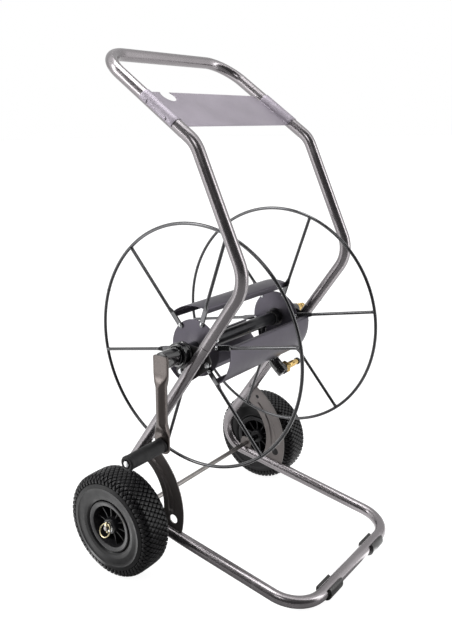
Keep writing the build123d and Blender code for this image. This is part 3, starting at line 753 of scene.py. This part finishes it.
def foot(side):
    """Saddle wrapped under the front bar, open above and flat where it stands."""
    section = [(y, max(0.0, z)) for y, z in arc(FRONT, 20.6, 137, 385, 60)]
    section += arc(FRONT, TUBE_R + 0.1, 385, 137, 60)
    bm = bmesh.new()
    plate(bm, section, 80.0, 135.0)
    soften(bm, 1.1, 50, 3)
    piece("foot_saddle", bm, "frame", FOOT_PLASTIC, "foot_plastic", "foot", side=side)


# ---- tray
TRAY_START, TRAY_END, WRAP_END = 60.0, 184.0, 163.0
TRAY_LEVEL, SHEET = -3.75, 1.5
NOTCH_X, NOTCH_AT, NOTCH_R = -140.5, 171.0, 20.0


def tray_point(x, along, height):
    return Vector((x, *SHOULDER)) + UP_HANDLE * along + TRAY_NORMAL * height


def tool_tray():
    """Bent sheet: a floor between the side tubes that wraps over each of them."""
    wrap_r = TUBE_R + 0.05 + SHEET / 2
    curl = 3.0
    profile = arc((SIDE_X, 0), wrap_r, -17.5, 180, 24)
    profile += arc((SIDE_X - wrap_r - curl, TRAY_LEVEL + curl), curl, 0, -90, 6)[1:]
    wrapped = len(profile) - 1
    inner_x = profile[-1][0]
    middle = [(x, TRAY_LEVEL) for x in spaced(inner_x, -inner_x, 40)[1:-1]]
    profile += middle + [(-x, h) for x, h in reversed(profile)]
    rows = spaced(TRAY_START, WRAP_END, 12) + spaced(WRAP_END, TRAY_END, 3)[1:]
    bm = bmesh.new()
    grid = []
    for along in rows:
        line = []
        for k, (x, h) in enumerate(profile):
            inside = wrapped <= k < len(profile) - wrapped
            line.append(bm.verts.new(tray_point(x, along, h)) if inside or along <= WRAP_END else None)
        grid.append(line)
    grid_faces(bm, grid)
    thicken(bm, SHEET)
    tool = bmesh.new()
    notch = tray_point(NOTCH_X, NOTCH_AT, -15)
    sweep(tool, [notch, notch + TRAY_NORMAL * 30], [circle(NOTCH_R, 72)] * 2)
    bm = cut(bm, tool)
    soften(bm, 0.35, 60)
    piece("tool_tray_sheet", bm, "frame", TRAY_PAINT, "tray_satin", "tool_tray")
    bm = bmesh.new()
    for side in (-1, 1):
        for along in (TRAY_START + 22, WRAP_END - 20):
            dome(bm, 4.0, 1.9, tray_point(side * (SIDE_X + TUBE_R + SHEET), along, 0), (side, 0, 0))
    piece("tray_rivet_heads", bm, "frame", TRAY_PAINT, "tray_satin", "tray_rivets")


def thicken(bm, thickness):
    """Turns a single skin into a sheet, half of its thickness to each side."""
    bmesh.ops.recalc_face_normals(bm, faces=bm.faces)
    bm.normal_update()
    top = list(bm.faces)
    rim = [edge for edge in bm.edges if len(edge.link_faces) == 1]
    twin = {}
    for vert in list(bm.verts):
        normal = vert.normal.copy()
        twin[vert] = bm.verts.new(vert.co - normal * thickness / 2)
        vert.co += normal * thickness / 2
    for face in top:
        bm.faces.new([twin[v] for v in reversed(face.verts)])
    for edge in rim:
        a, b = edge.verts
        bm.faces.new((a, b, twin[b], twin[a]))


# ---- wheels
TREAD_COUNT, TREAD_ROW = 60, 9.3
CREST = fillet([(0, 130), (39.8, 129.2, 18), (40.2, 96)], closed=False, steps=24)


def crest_at(s):
    """Point and outward normal on the tread's crest, at an arc length from the middle."""
    sign = -1 if s < 0 else 1
    left = abs(s)
    for a, b in zip(CREST, CREST[1:]):
        run = (b - a).length
        if left <= run:
            break
        left -= run
    way = (b - a).normalized()
    point = a + way * left
    return Vector((sign * point.x, point.y)), Vector((-sign * way.y, way.x))


def tread_block(bm, angle, s, outline):
    """One rubber block: a draughted stump with a rounded top on the tread's crest."""
    levels = ((-4.4, 1.14), (-0.9, 1.0), (-0.25, 0.92), (0.0, 0.76))
    rings = []
    for height, grow in levels:
        ring = []
        for u, v in outline:
            point, normal = crest_at(s + v * grow)
            point = point + normal * height
            turn = angle + u * grow / WHEEL_R
            x, r = point
            ring.append(bm.verts.new((WHEEL_X + x, r * cos(turn), WHEEL_R + r * sin(turn))))
        rings.append(ring)
    skin(bm, rings)
    bm.faces.new(rings[-1])


def tyre(side):
    """Carcass with a smooth dished sidewall and a ridge, and rows of diamond tread blocks."""
    half = [
        (0, 125.6), (22, 124.8), (33, 120.0), (36.6, 113.5), (37.2, 109.0), (40.0, 108.2, 1.0),
        (41.3, 101.0, 2), (41.5, 99.4), (42.0, 98.4, 0.6), (41.3, 97.2), (40.4, 90.0, 14),
        (39.2, 79.0, 20), (37.2, 70.5, 8), (34.6, 66.6, 1.2), (32.0, 64.1, 0.8), (23.0, 64.0),
        (23.0, 72.0), (34.0, 96.0, 20), (22.0, 114.0, 14), (0, 115.5),
    ]
    right = fillet(half, closed=False, steps=6)
    left = [Vector((-x, r)) for x, r in reversed(right[1:-1])]
    bm = bmesh.new()
    lathe(bm, list(right) + left, AXLE, 180, WHEEL_X)
    a, b = 5.5, 7.5
    blunt = 0.16
    diamond = []
    for u, v in ((1, 0), (0, 1), (-1, 0), (0, -1)):
        for lean in (-1, 1):
            across = blunt * lean
            diamond.append(((u * (1 - blunt) - v * across) * a, (v * (1 - blunt) + u * across) * b))
    lug = [(0.9, -7.2), (5.3, -0.6), (4.7, 6.2), (-4.7, 6.2), (-5.3, -0.6), (-0.9, -7.2)]
    for row in range(-5, 6):
        for k in range(TREAD_COUNT):
            angle = 2 * pi * (k + (0.5 if row % 2 else 0)) / TREAD_COUNT
            if abs(row) < 5:
                tread_block(bm, angle, row * TREAD_ROW, diamond)
            else:
                flip = 1 if row > 0 else -1
                tread_block(bm, angle, row * TREAD_ROW, [(u, v * flip) for u, v in lug])
    piece("block_tread_tyre", bm, "wheel", TYRE_RUBBER, "tyre", "tyre", side=side, sharp=40)


def rim(side):
    """Ribbed plastic rim with a lip, deep pockets and a hub."""
    half = [
        (18.0, 58.5), (24.0, 63.6, 1), (35.6, 63.6, 1.2), (36.6, 61.0, 1.5), (34.6, 51.8, 1.6),
        (5.0, 48.4, 2), (3.0, 44.0, 2), (3.0, 21.5, 2.5), (30.5, 19.2, 6), (34.5, 17.4, 1.2),
        (34.5, 10.02),
    ]
    right = fillet(half, closed=False)
    left = [Vector((-x, r)) for x, r in reversed(right)]
    bm = bmesh.new()
    lathe(bm, list(right) + left, AXLE, 120, WHEEL_X)
    ribs = bmesh.new()
    outline = [(17, -24, 2), (17, 24, 2), (30, 21.6, 30), (50, 21.0), (50, -21.0), (30, -21.6, 30)]
    for k in range(10):
        angle = radians(90 - (k * 36 + 8))
        outward = Vector((0, cos(angle), sin(angle)))
        across = Vector((0, -sin(angle), cos(angle)))
        origin = Vector((WHEEL_X, *AXLE)) - across * 1.3
        prism(ribs, fillet(outline), origin, outward, (1, 0, 0), across * 2.6)
    soften(ribs, 0.45, 50)
    join(bm, ribs)
    piece("ribbed_rim", bm, "wheel", RIM_PLASTIC, "rim_plastic", "rim", side=side)
    bore, outer = 6.06, 10.0
    sleeve = [(HUB_HALF, bore), (HUB_HALF, outer, 0.3), (-HUB_HALF, outer, 0.3), (-HUB_HALF, bore)]
    bm = turned(sleeve, AXLE, 64, WHEEL_X)
    piece("axle_bushing", bm, "wheel", BUSH_PLASTIC, "bushing_plastic", "wheel_bushing", side=side)


def join(bm, other):
    """Adds another mesh to bm."""
    mesh = new_mesh("joined", other)
    bm.from_mesh(mesh)
    bpy.data.meshes.remove(mesh)


def axle_fittings():
    """Through axle, washers, spacers and the linch pins with their spring rings."""
    axle_half = 356.0
    bm = bmesh.new()
    rod = [(-axle_half, 0), (-axle_half, 6, 1.2), (axle_half, 6, 1.2), (axle_half, 0)]
    lathe(bm, fillet(rod, closed=False, steps=3), AXLE, 56, closed=False)
    piece("through_axle", bm, "frame", AXLE_STEEL, "axle_steel", "wheel_axle")
    for side in SIDES:
        start = WHEEL_X + HUB_HALF + 0.5
        washer = [(start, 6.02), (start, 13, 0.5), (start + 1.8, 13, 0.5), (start + 1.8, 6.02)]
        bm = turned(washer, AXLE, 64)
        piece("washer", bm, "frame", ZINC, "zinc", "axle_washer", side=side)
        inner, end = SIDE_X + 2.5, WHEEL_X - HUB_HALF - 0.5
        bm = turned([(inner, 6.02), (inner, 9, 0.5), (end, 9, 0.5), (end, 6.02)], AXLE, 48)
        piece("spacer", bm, "frame", GLOSS_PLASTIC, "black_plastic", "axle_spacer", side=side)
        linch_pin(side)


def linch_pin(side):
    """Pin through the axle end, and the spring ring that hangs from its head."""
    pin_x, eye_z, lean = 350.0, WHEEL_R + 10.5, radians(25.0)
    ring_r, wire_r = 15.5, 1.5
    bm = bmesh.new()
    stations = ((-13.0, 1.6), (-11.8, 2.5), (5.6, 2.5))
    path = [Vector((pin_x, 0, WHEEL_R + z)) for z, r in stations]
    sweep(bm, path, [circle(r, 24) for z, r in stations])
    head_path, head_outlines = [], []
    for z in spaced(5.6, 16.0, 14):
        shrink = sqrt(max(0.02, 1 - max(0.0, (z - 12.0) / 4.0) ** 2))
        head_path.append(Vector((pin_x, 0, WHEEL_R + z)))
        head_outlines.append(superellipse(4.0 * shrink, 3.0 * min(1.0, shrink + 0.1), 3.0, 32))
    sweep(bm, head_path, head_outlines)
    piece("linch_pin_body", bm, "frame", YELLOW_ZINC, "yellow_zinc", "linch_pin", side=side)
    bm = bmesh.new()
    down = Vector((sin(lean), 0, -cos(lean)))
    centre = Vector((pin_x, 0, eye_z)) + down * ring_r
    ring_path = round_points(centre, Vector((0, 1, 0)), down, ring_r, 96)
    sweep(bm, ring_path, [circle(wire_r, 16)] * 96, closed=True)
    piece("linch_spring_ring", bm, "pin_ring", YELLOW_ZINC, "yellow_zinc", "linch_ring", side=side)


# ---- reel bearings
def bearing(side):
    """Plate with its two bolts, and the flanged collar that the reel pipe turns in."""
    inner, outer = 209.0, 212.0
    corners = [(-26, 10), (-26, 36), (-12, 46), (20, 40), (44, 26)]
    corners += [(44, -26), (36, -52), (18, -58), (-8, -44)]
    placed = [beside_slope(across, along, 0) for across, along in corners]
    bm = bmesh.new()
    plate(bm, fillet([(p.y, p.z, 7) for p in placed]), inner, outer)
    bm = drill(bm, (210.5, *REEL, 21.0))
    soften(bm, 0.4, 50)
    seam = [on_slope(-88, SIDE_X - 12.5), on_slope(-4, SIDE_X - 12.5)]
    weld_bead(bm, [p + BEHIND * 6 for p in seam], 2.6, 7 * side)
    piece("bearing_plate_steel", bm, "frame", PLATE_PAINT, "plate_black", "bearing_plate", side=side)

    bm = bmesh.new()
    for across, along in ((25.0, -43.0), (-20.0, 24.0)):
        out = beside_slope(across, along, outer)
        back = beside_slope(across, along, inner)
        hexagon(bm, 10, 4.0, out, (1, 0, 0), 0.3)
        hexagon(bm, 11, 4.5, back, (-1, 0, 0), 0.9)
        washer = [(outer - 0.2, 0), (outer - 0.2, 6.2), (outer + 0.8, 6.2), (outer + 0.8, 0)]
        lathe(bm, washer, out.yz, 40, closed=False)
    piece("bearing_bolt_heads", bm, "frame", ZINC, "zinc", "bearing_bolts", side=side)

    bore, end = PIPE_R + 0.06, 238.0
    section = [
        (inner - 2.5, bore), (inner - 2.5, 23, 0.6), (inner, 23), (inner, 21), (outer, 21),
        (outer, 27.5, 1), (outer + 6, 27.5, 0.8), (outer + 7.2, 25.4, 0.6), (outer + 14.8, 25.4, 0.6),
        (outer + 16, 27.5, 0.8), (end, 27.5, 3.5), (end, 22, 0.8), (end - 1.2, 20.5, 0.5),
        (end - 1.2, bore),
    ]
    bm = turned(section, REEL, 96)
    piece("pipe_collar", bm, "frame", GLOSS_PLASTIC, "black_plastic", "bearing_collar", side=side)


# ---- reel
DISC_INNER, DISC_OUTER = 168.5, 170.5
TAB_CENTRE_X = 172.1
SPOKE_ANGLES = [SPOKE_PHASE + 360 / SPOKES * k for k in range(SPOKES)]


def reel_ring(side):
    bm = bmesh.new()
    path = [reel_point(RING_X, RING_R, 360 * k / 240) for k in range(240)]
    sweep(bm, path, [circle(WIRE_R, 20)] * 240, closed=True)
    # The ring's own butt weld
    joint = [reel_point(RING_X, RING_R, 21 + 0.25 * k) for k in range(5)]
    sweep(bm, joint, [circle(WIRE_R + h, 20) for h in (0.02, 0.35, 0.45, 0.35, 0.02)])
    piece("wire_ring", bm, "reel", WIRE_PAINT, "wire_dark", "reel_ring", side=side)


def reel_spokes(side):
    """Wire spokes pressed flat at their inner ends, welded into the ring."""
    bm = bmesh.new()
    start_r, end_r = 56.0, RING_R - 1.0
    stations = [start_r + s for s in (0, 0.4, 1.2, 2.5, 4.5, 8, 20, 34)]
    stations += [96 + 2 * k for k in range(11)] + [150, 200, 250, 270]
    stations += [end_r - 7, end_r - 4, end_r - 2, end_r]
    for angle in SPOKE_ANGLES:
        path, outlines = [], []
        for r in stations:
            flat = 1 - smooth_step(97, 113, r)
            x = RING_X + (TAB_CENTRE_X - RING_X) * flat
            nose = min(1.0, (r - start_r) / 5.0)
            half_w = WIRE_R + (6.4 - WIRE_R) * flat - 5.0 * (1 - sqrt(max(0.0, 1 - (1 - nose) ** 2)))
            half_t = WIRE_R + (1.6 - WIRE_R) * flat
            flare = 1.1 * smooth_step(end_r - 6, end_r - 1, r)
            path.append(reel_point(x, r, angle))
            outlines.append(superellipse(half_t + flare, half_w + flare, 2 + 5 * flat, 32))
        sweep(bm, path, outlines)
    piece("wire_spokes", bm, "reel", WIRE_PAINT, "wire_dark", "reel_spokes", side=side)
    bm = bmesh.new()
    for angle in SPOKE_ANGLES:
        dome(bm, 4.2, 2.2, reel_point(RING_X - 0.6, 64.0, angle), (1, 0, 0))
        dome(bm, 3.4, 1.4, reel_point(DISC_INNER, 64.0, angle), (-1, 0, 0))
    piece("spoke_rivet_heads", bm, "reel", ZINC, "zinc", "spoke_rivets", side=side)


def hub(side):
    """Round disc and the sleeve that holds it on the pipe."""
    bore = PIPE_R + 0.05
    section = [(DISC_INNER, bore), (DISC_INNER, DISC_R, 0.5)]
    section += [(DISC_OUTER, DISC_R, 0.8), (DISC_OUTER, bore)]
    bm = turned(section, REEL, 144)
    piece("hub_plate", bm, "reel", DRUM_PAINT, "drum_satin", "hub_disc", side=side)
    end = DISC_INNER - 24
    sleeve = [(end, bore), (end, 19.5, 1.2), (DISC_INNER - 3, 19.5, 2)]
    sleeve += [(DISC_INNER, 23.0), (DISC_INNER, bore)]
    bm = turned(sleeve, REEL, 72)
    piece("pipe_sleeve", bm, "reel", SATIN_PLASTIC, "black_plastic", "pipe_flange", side=side)


def drum_sheet(node, first_angle):
    """Curved sheet with a lip bent inwards along each edge."""
    lo, hi = first_angle + 2, first_angle + 360 / SPOKES - 2
    r = DRUM_R - SHEET / 2
    curl, lip = 3.0, 14.0
    reach = degrees(curl / (r - curl))
    first, last = lo + 0.4 + reach, hi - 0.4 - reach
    profile = [polar(radius, lo + 0.4) for radius in spaced(r - lip, r - curl, 4)[:-1]]
    profile += arc(polar(r - curl, first), curl, lo + 0.4 - 90, lo + 0.4, 6)
    axis = polar(1.0, (lo + hi) / 2)
    mirrored = [axis * (2 * p.dot(axis)) - p for p in reversed(profile)]
    profile += arc((0, 0), r, first, last, 26)[1:-1] + mirrored
    half = DISC_OUTER - 0.1
    bm = bmesh.new()
    rows = spaced(-half, half, 24)
    grid = [[bm.verts.new((x, REEL[0] + p.x, REEL[1] + p.y)) for p in profile] for x in rows]
    grid_faces(bm, grid)
    thicken(bm, SHEET)
    soften(bm, 0.35, 60)
    piece(node + "_bent", bm, "reel", DRUM_PAINT, "drum_satin", node)


def reel_pipe():
    bm = turned([(-264, 13.8), (-264, PIPE_R, 0.6), (246, PIPE_R, 0.6), (246, 13.8)], REEL, 96)
    piece("through_pipe", bm, "reel", PIPE_PAINT, "pipe_dark", "reel_pipe")
    bm = turned([(238.5, PIPE_R), (238.5, 20.5, 0.8), (246, 20.5, 1.2), (246, PIPE_R)], REEL, 72)
    piece("pipe_end_ring", bm, "reel", GLOSS_PLASTIC, "black_plastic", "pipe_stop_ring")


# ---- water fittings
def outlet():
    """Bent stem under the pipe, its socket, and the brass hose tail."""
    out_x = 102.0
    corners = [(out_x, REEL[0] - 2.0, REEL[1] - 15.0), (out_x, -146.0, 476.0), (out_x, -204.0, 423.0)]
    path = divide(bend(corners, [34.0], 5.0), 2.0)
    travelled = distances(path)
    total = travelled[-1]
    outlines = []
    for s in travelled:
        left = total - s
        radius = 11.0 + 4.0 * smooth_step(total - 46, total - 42, s)
        radius += 1.3 * smooth_step(6, 0, s)
        radius += 0.5 * (smooth_step(total - 20, total - 19, s) - smooth_step(total - 13, total - 12, s))
        if left < 2.0:
            radius -= 2.0 - sqrt(max(0.0, 4.0 - (2.0 - left) ** 2))
        outlines.append(circle(radius, 56))
    bm = bmesh.new()
    sweep(bm, path, outlines)
    tail = (-194.0, 431.0)
    socket = [
        (out_x - 2, 0), (out_x - 2, 12.6), (out_x + 5, 13.0, 0.5), (out_x + 6, 15.4, 0.5),
        (out_x + 10, 15.4, 1.2), (out_x + 10, 0),
    ]
    lathe(bm, fillet(socket, closed=False), tail, 64, closed=False)
    piece("outlet_bend", bm, "reel", GLOSS_PLASTIC, "black_plastic", "outlet_elbow")

    bm = bmesh.new()
    nut_x, barb_x, ring_x = out_x + 10, out_x + 30, 181.0
    hexagon(bm, 30, 14, (nut_x, *tail), (1, 0, 0), 0.2)
    barbs = [(nut_x + 13.5, 0), (nut_x + 13.5, 11.4), (barb_x - 1, 11.4, 1.0)]
    barbs += [(barb_x, 8.6, 0.6), (barb_x + 9, 8.6, 0.3)]
    for step in (9, 15, 21, 27):
        barbs += [(barb_x + step + 0.3, 7.2, 0.3), (barb_x + step + 6, 8.6, 0.4)]
    barbs += [(barb_x + 33.3, 7.2, 0.3), (ring_x, 7.2), (ring_x, 5.0), (barb_x + 8, 5.0), (barb_x + 8, 0)]
    lathe(bm, fillet(barbs, closed=False), tail, 72, closed=False)
    piece("barbed_hose_tail", bm, "reel", BRASS, "brass", "outlet_hose_tail")

    ring = [(ring_x, 5.0), (ring_x, 9.5, 1.2), (ring_x + 7, 9.5, 1.6), (ring_x + 7, 5.0, 0.6)]
    bm = turned(ring, tail, 64)
    piece("hose_tail_end_ring", bm, "reel", GLOSS_PLASTIC, "black_plastic", "outlet_hose_ring")


def inlet():
    """Rotary plug at the far end of the pipe and its brass click-on nipple."""
    face = 270.0
    plug = [
        (222, 9.0), (222, 13.95, 0.4), (246.5, 13.95), (246.5, 18.0, 0.8), (256, 18.0, 0.8),
        (258, 15.0, 0.6), (face, 15.0, 0.8), (face, 9.0),
    ]
    bm = turned(plug, REEL, 80)
    for k in range(24):
        at = reel_point(248.2, 17.7, 15.0 * k)
        sweep(bm, [at, at + Vector((6.2, 0, 0))], [circle(0.8, 8)] * 2)
    piece("rotary_plug", bm, "inlet", GLOSS_PLASTIC, "black_plastic", "inlet_swivel")
    bm = bmesh.new()
    hexagon(bm, 24, 9, (face, *REEL), (1, 0, 0), 0.1)
    nipple = [
        (face + 8.6, 0), (face + 8.6, 10.5), (face + 20, 10.5, 0.8), (face + 20.4, 8.6, 0.6),
        (face + 24, 8.6, 0.6), (face + 24.4, 10.2, 0.8), (face + 30, 10.2, 1.6),
        (face + 33, 8.6, 0.8), (face + 41, 8.6, 1.0), (face + 41, 6.0, 0.4), (face + 12, 6.0),
        (face + 12, 0),
    ]
    lathe(bm, fillet(nipple, closed=False), REEL, 80, closed=False)
    piece("click_on_nipple", bm, "inlet", BRASS, "brass", "inlet_connector")


# ---- crank
# Crank meshes are made with the reel axis at Y = Z = 0 and the grip straight below it.
TO_CRANK = Matrix.Translation((0, *REEL)) @ Matrix.Rotation(radians(CRANK_LEAN), 4, "X")
GRIP_CENTRE = (0.0, -CRANK_RADIUS)
CRANK_FACE = -CRANK_X - CRANK_FLAT_T / 2


def crank_piece(name, bm, *rest, sharp=32.0):
    bmesh.ops.transform(bm, matrix=TO_CRANK, verts=bm.verts)
    piece(name, bm, *rest, sharp=sharp)


def crank():
    """Boss, tube pressed flat at both ends, and the turning grip on its bolt."""
    start, face = -238.6, CRANK_FACE + CRANK_FLAT_T
    boss = [(start, PIPE_R + 0.05), (start, 20.0, 1.4), (start - 4, 20.0, 0.5)]
    boss += [(start - 4.6, 19.2, 0.4), (start - 6.4, 19.2, 0.4)]
    boss += [(start - 7, 20.0, 0.5), (face, 20.0, 1.6), (face, 0)]
    bm = turned(boss, (0, 0), 88, closed=False)
    crank_piece("crank_boss_turned", bm, "reel", GLOSS_PLASTIC, "black_plastic", "crank_boss")

    top, bottom = 13.0, -CRANK_RADIUS - 20.0
    stations = [top, top - 0.4, top - 1.2, top - 2.5, top - 5, top - 14, -22]
    stations += [-24 - 2 * k for k in range(20)] + [-80, -100, -120]
    stations += [-136 - 2 * k for k in range(21)]
    stations += [bottom + s for s in (20, 14, 10, 7, 4.5, 2.5, 1.2, 0.4, 0)]
    path, outlines = [], []
    for z in stations:
        flat = max(smooth_step(-60, -24, z), 1 - smooth_step(-CRANK_RADIUS + 20, -CRANK_RADIUS + 56, z))
        half_w = CRANK_TUBE_R + (CRANK_FLAT_W / 2 - CRANK_TUBE_R) * flat
        half_t = CRANK_TUBE_R + (CRANK_FLAT_T / 2 - CRANK_TUBE_R) * flat
        for end, corner in ((top - z, 5.0), (z - bottom, 14.0)):
            if end < corner:
                half_w -= corner - sqrt(corner * corner - (corner - end) ** 2)
        path.append(Vector((-CRANK_X, 0, z)))
        outlines.append(superellipse(half_t, half_w, 2 + 6 * flat, 56))
    bm = bmesh.new()
    sweep(bm, path, outlines)
    crank_piece("crank_tube", bm, "reel", CRANK_PAINT, "crank_paint", "crank_arm", sharp=40)

    end = -GRIP_END
    near, bore = CRANK_FACE - 1, 5.06
    sleeve = [
        (near, bore), (near, GRIP_R + 1.4, 1.2), (near - 4, GRIP_R + 1.4, 1.2), (near - 8, GRIP_R, 3),
        (near - 54, GRIP_R + 0.35, 60), (end + 9.5, GRIP_R - 0.1, 3), (end + 7, GRIP_R + 0.6, 1.2),
        (end, GRIP_R + 0.4, 4.0), (end, 10.4, 1.0), (end + 4, 9.6, 0.4), (end + 4, bore),
    ]
    bm = turned(sleeve, GRIP_CENTRE, 88)
    crank_piece("turning_grip", bm, "grip", GRIP_RUBBER, "hand_grip", "hand_grip")

    bm = bmesh.new()
    head = end + 3.4
    shank = [(face + 6, 0), (face + 6, 4.6), (face + 5, 5.0), (head, 5.0)]
    lathe(bm, shank, GRIP_CENTRE, 40, closed=False)
    hexagon(bm, 13, 5, (head, *GRIP_CENTRE), (-1, 0, 0), 0.35)
    crank_piece("grip_bolt_head", bm, "reel", ZINC, "zinc", "grip_bolt")
    bm = bmesh.new()
    hexagon(bm, 15, 6, (face, *GRIP_CENTRE), (1, 0, 0), 0.2)
    crank_piece("grip_lock_nut", bm, "reel", ZINC, "zinc", "grip_nut")


# ---- studio
# Where the camera stands, in millimetres as the meshes are, then its lens and its shift
CAMERA_AT = (-1385.4, -1126.4, 1034.5)
LENS, SHIFT = 40.365, (-0.00171875, -0.000625)
AZIMUTH, ELEVATION, ROLL = radians(-53.5), radians(15.0), radians(-0.9)
# Brightness against direction: 0 is ahead of the camera, 1 is straight behind it
GLOW = (
    (0.0, 0.60), (0.34, 0.65), (0.45, 1.25), (0.55, 1.1), (0.60, 0.7),
    (0.63, 3.2), (0.66, 2.8), (0.70, 0.2), (0.76, 0.06), (1.0, 0.03),
)


def surround(tree, place, back, output, camera_level, level):
    """Glow that is even to the camera, and in reflections follows GLOW."""
    coords = add_node(tree, "TexCoord")
    unit = add_node(tree, "VectorMath", operation="NORMALIZE")
    towards = add_node(tree, "VectorMath", {1: back}, operation="DOT_PRODUCT")
    spread = add_node(tree, "MapRange", {"From Min": -1.0})
    ramp = add_node(tree, "ValToRGB")
    elements = ramp.color_ramp.elements
    elements[0].position, elements[1].position = GLOW[0][0], GLOW[-1][0]
    for position, _ in GLOW[1:-1]:
        elements.new(position)
    for element, (_, tone) in zip(elements, GLOW):
        element.color = (tone, tone, tone, 1)
    soft = add_node(tree, "Emission", {"Strength": level})
    even = add_node(tree, "Emission", {"Color": (1, 1, 1, 1), "Strength": camera_level})
    path = add_node(tree, "LightPath")
    mix = add_node(tree, "MixShader")
    total = add_node(tree, "AddShader")
    links = [
        (coords.outputs[place], unit.inputs[0]),
        (unit.outputs[0], towards.inputs[0]),
        (towards.outputs["Value"], spread.inputs["Value"]),
        (spread.outputs["Result"], ramp.inputs[0]),
        (ramp.outputs[0], soft.inputs["Color"]),
        (path.outputs["Is Camera Ray"], mix.inputs[0]),
        (soft.outputs[0], mix.inputs[1]),
        (even.outputs[0], mix.inputs[2]),
        (mix.outputs[0], total.inputs[0]),
    ]
    if output.inputs["Surface"].is_linked:
        links.append((output.inputs["Surface"].links[0].from_socket, total.inputs[1]))
    for source, target in links + [(total.outputs[0], output.inputs["Surface"])]:
        tree.links.new(source, target)


def studio():
    """Plain pale floor, soft lights and the camera."""
    floor_look = Look("studio_floor", (0.30, 0.30, 0.30), 0.7)
    floor_look.colour(floor_look.mix(floor_look.noise(1.5), (0.29, 0.29, 0.29), (0.31, 0.31, 0.31)))
    bm = bmesh.new()
    half = 60.0
    corners = ((-half, -half), (half, -half), (half, half), (-half, half))
    bm.faces.new([bm.verts.new((x, y, -0.0005)) for x, y in corners])
    mesh = new_mesh("studio_floor", bm)
    mesh.materials.append(floor_look.material)
    floor = new_object("studio_floor", mesh)

    back = Vector((sin(AZIMUTH) * cos(ELEVATION), -cos(AZIMUTH) * cos(ELEVATION), sin(ELEVATION)))
    right = (-back).cross(Vector((0, 0, 1))).normalized()
    up = right.cross(-back)
    level_back = Vector((back.x, back.y, 0)).normalized()

    # Even white to the camera. Reflections see grey ahead, light to the sides, a bright band a little
    # behind them and dark behind the camera, in the world and in the floor.
    world = bpy.data.worlds.new("studio")
    world.use_nodes = True
    bpy.context.scene.world = world
    world.node_tree.nodes.clear()
    output = world.node_tree.nodes.new("ShaderNodeOutputWorld")
    surround(world.node_tree, "Generated", back, output, 1.0, 1.0)
    floor_output = floor_look.tree.nodes["Material Output"]
    surround(floor_look.tree, "Object", level_back, floor_output, 0.92, 0.9)

    # Softboxes, placed by how far they stand to the right of, above and in front of the cart as seen
    target = Vector((0, 0, 0.6))
    for name, across, height, ahead, size, power in (
        ("left_softbox", -2.6, 2.3, 0.6, (0.6, 2.4), 27),
        ("right_softbox", 2.8, 1.6, 0.4, (0.6, 2.4), 17),
        ("top_softbox", -0.3, 3.4, -0.2, (1.8, 0.7), 24),
        ("front_softbox", -1.1, 3.0, 2.6, (1.0, 0.8), 12),
    ):
        light = bpy.data.lights.new(name, "AREA")
        light.shape = "RECTANGLE"
        light.size, light.size_y = size
        light.energy = power
        lamp = new_object(name, light)
        lamp.location = right * across + level_back * ahead + Vector((0, 0, height))
        lamp.rotation_euler = (target - lamp.location).to_track_quat("-Z", "Y").to_euler()

    data = bpy.data.cameras.new("camera")
    data.sensor_width = 36.0
    data.lens = LENS
    data.shift_x, data.shift_y = SHIFT
    data.clip_end = 200
    camera = new_object("camera", data)
    turned_right = right * cos(ROLL) + up * sin(ROLL)
    turned_up = up * cos(ROLL) - right * sin(ROLL)
    axes = Matrix((turned_right, turned_up, back)).transposed().to_4x4()
    camera.matrix_world = Matrix.Translation(ORIGIN + Vector(CAMERA_AT) * MM) @ axes
    bpy.context.scene.camera = camera
    bpy.context.scene.view_settings.view_transform = "Standard"


# ---- the whole cart
tube_frame()
tool_tray()
axle_fittings()
reel_pipe()
outlet()
inlet()
crank()
for node, first in (("drum_sheet_upper", 0), ("drum_sheet_front", 2), ("drum_sheet_lower", 4)):
    drum_sheet(node, SPOKE_ANGLES[first])
for side in SIDES:
    for make in (gusset, frame_welds, axle_lug, foot, tyre, rim, bearing, reel_ring, reel_spokes, hub):
        make(side)
studio()
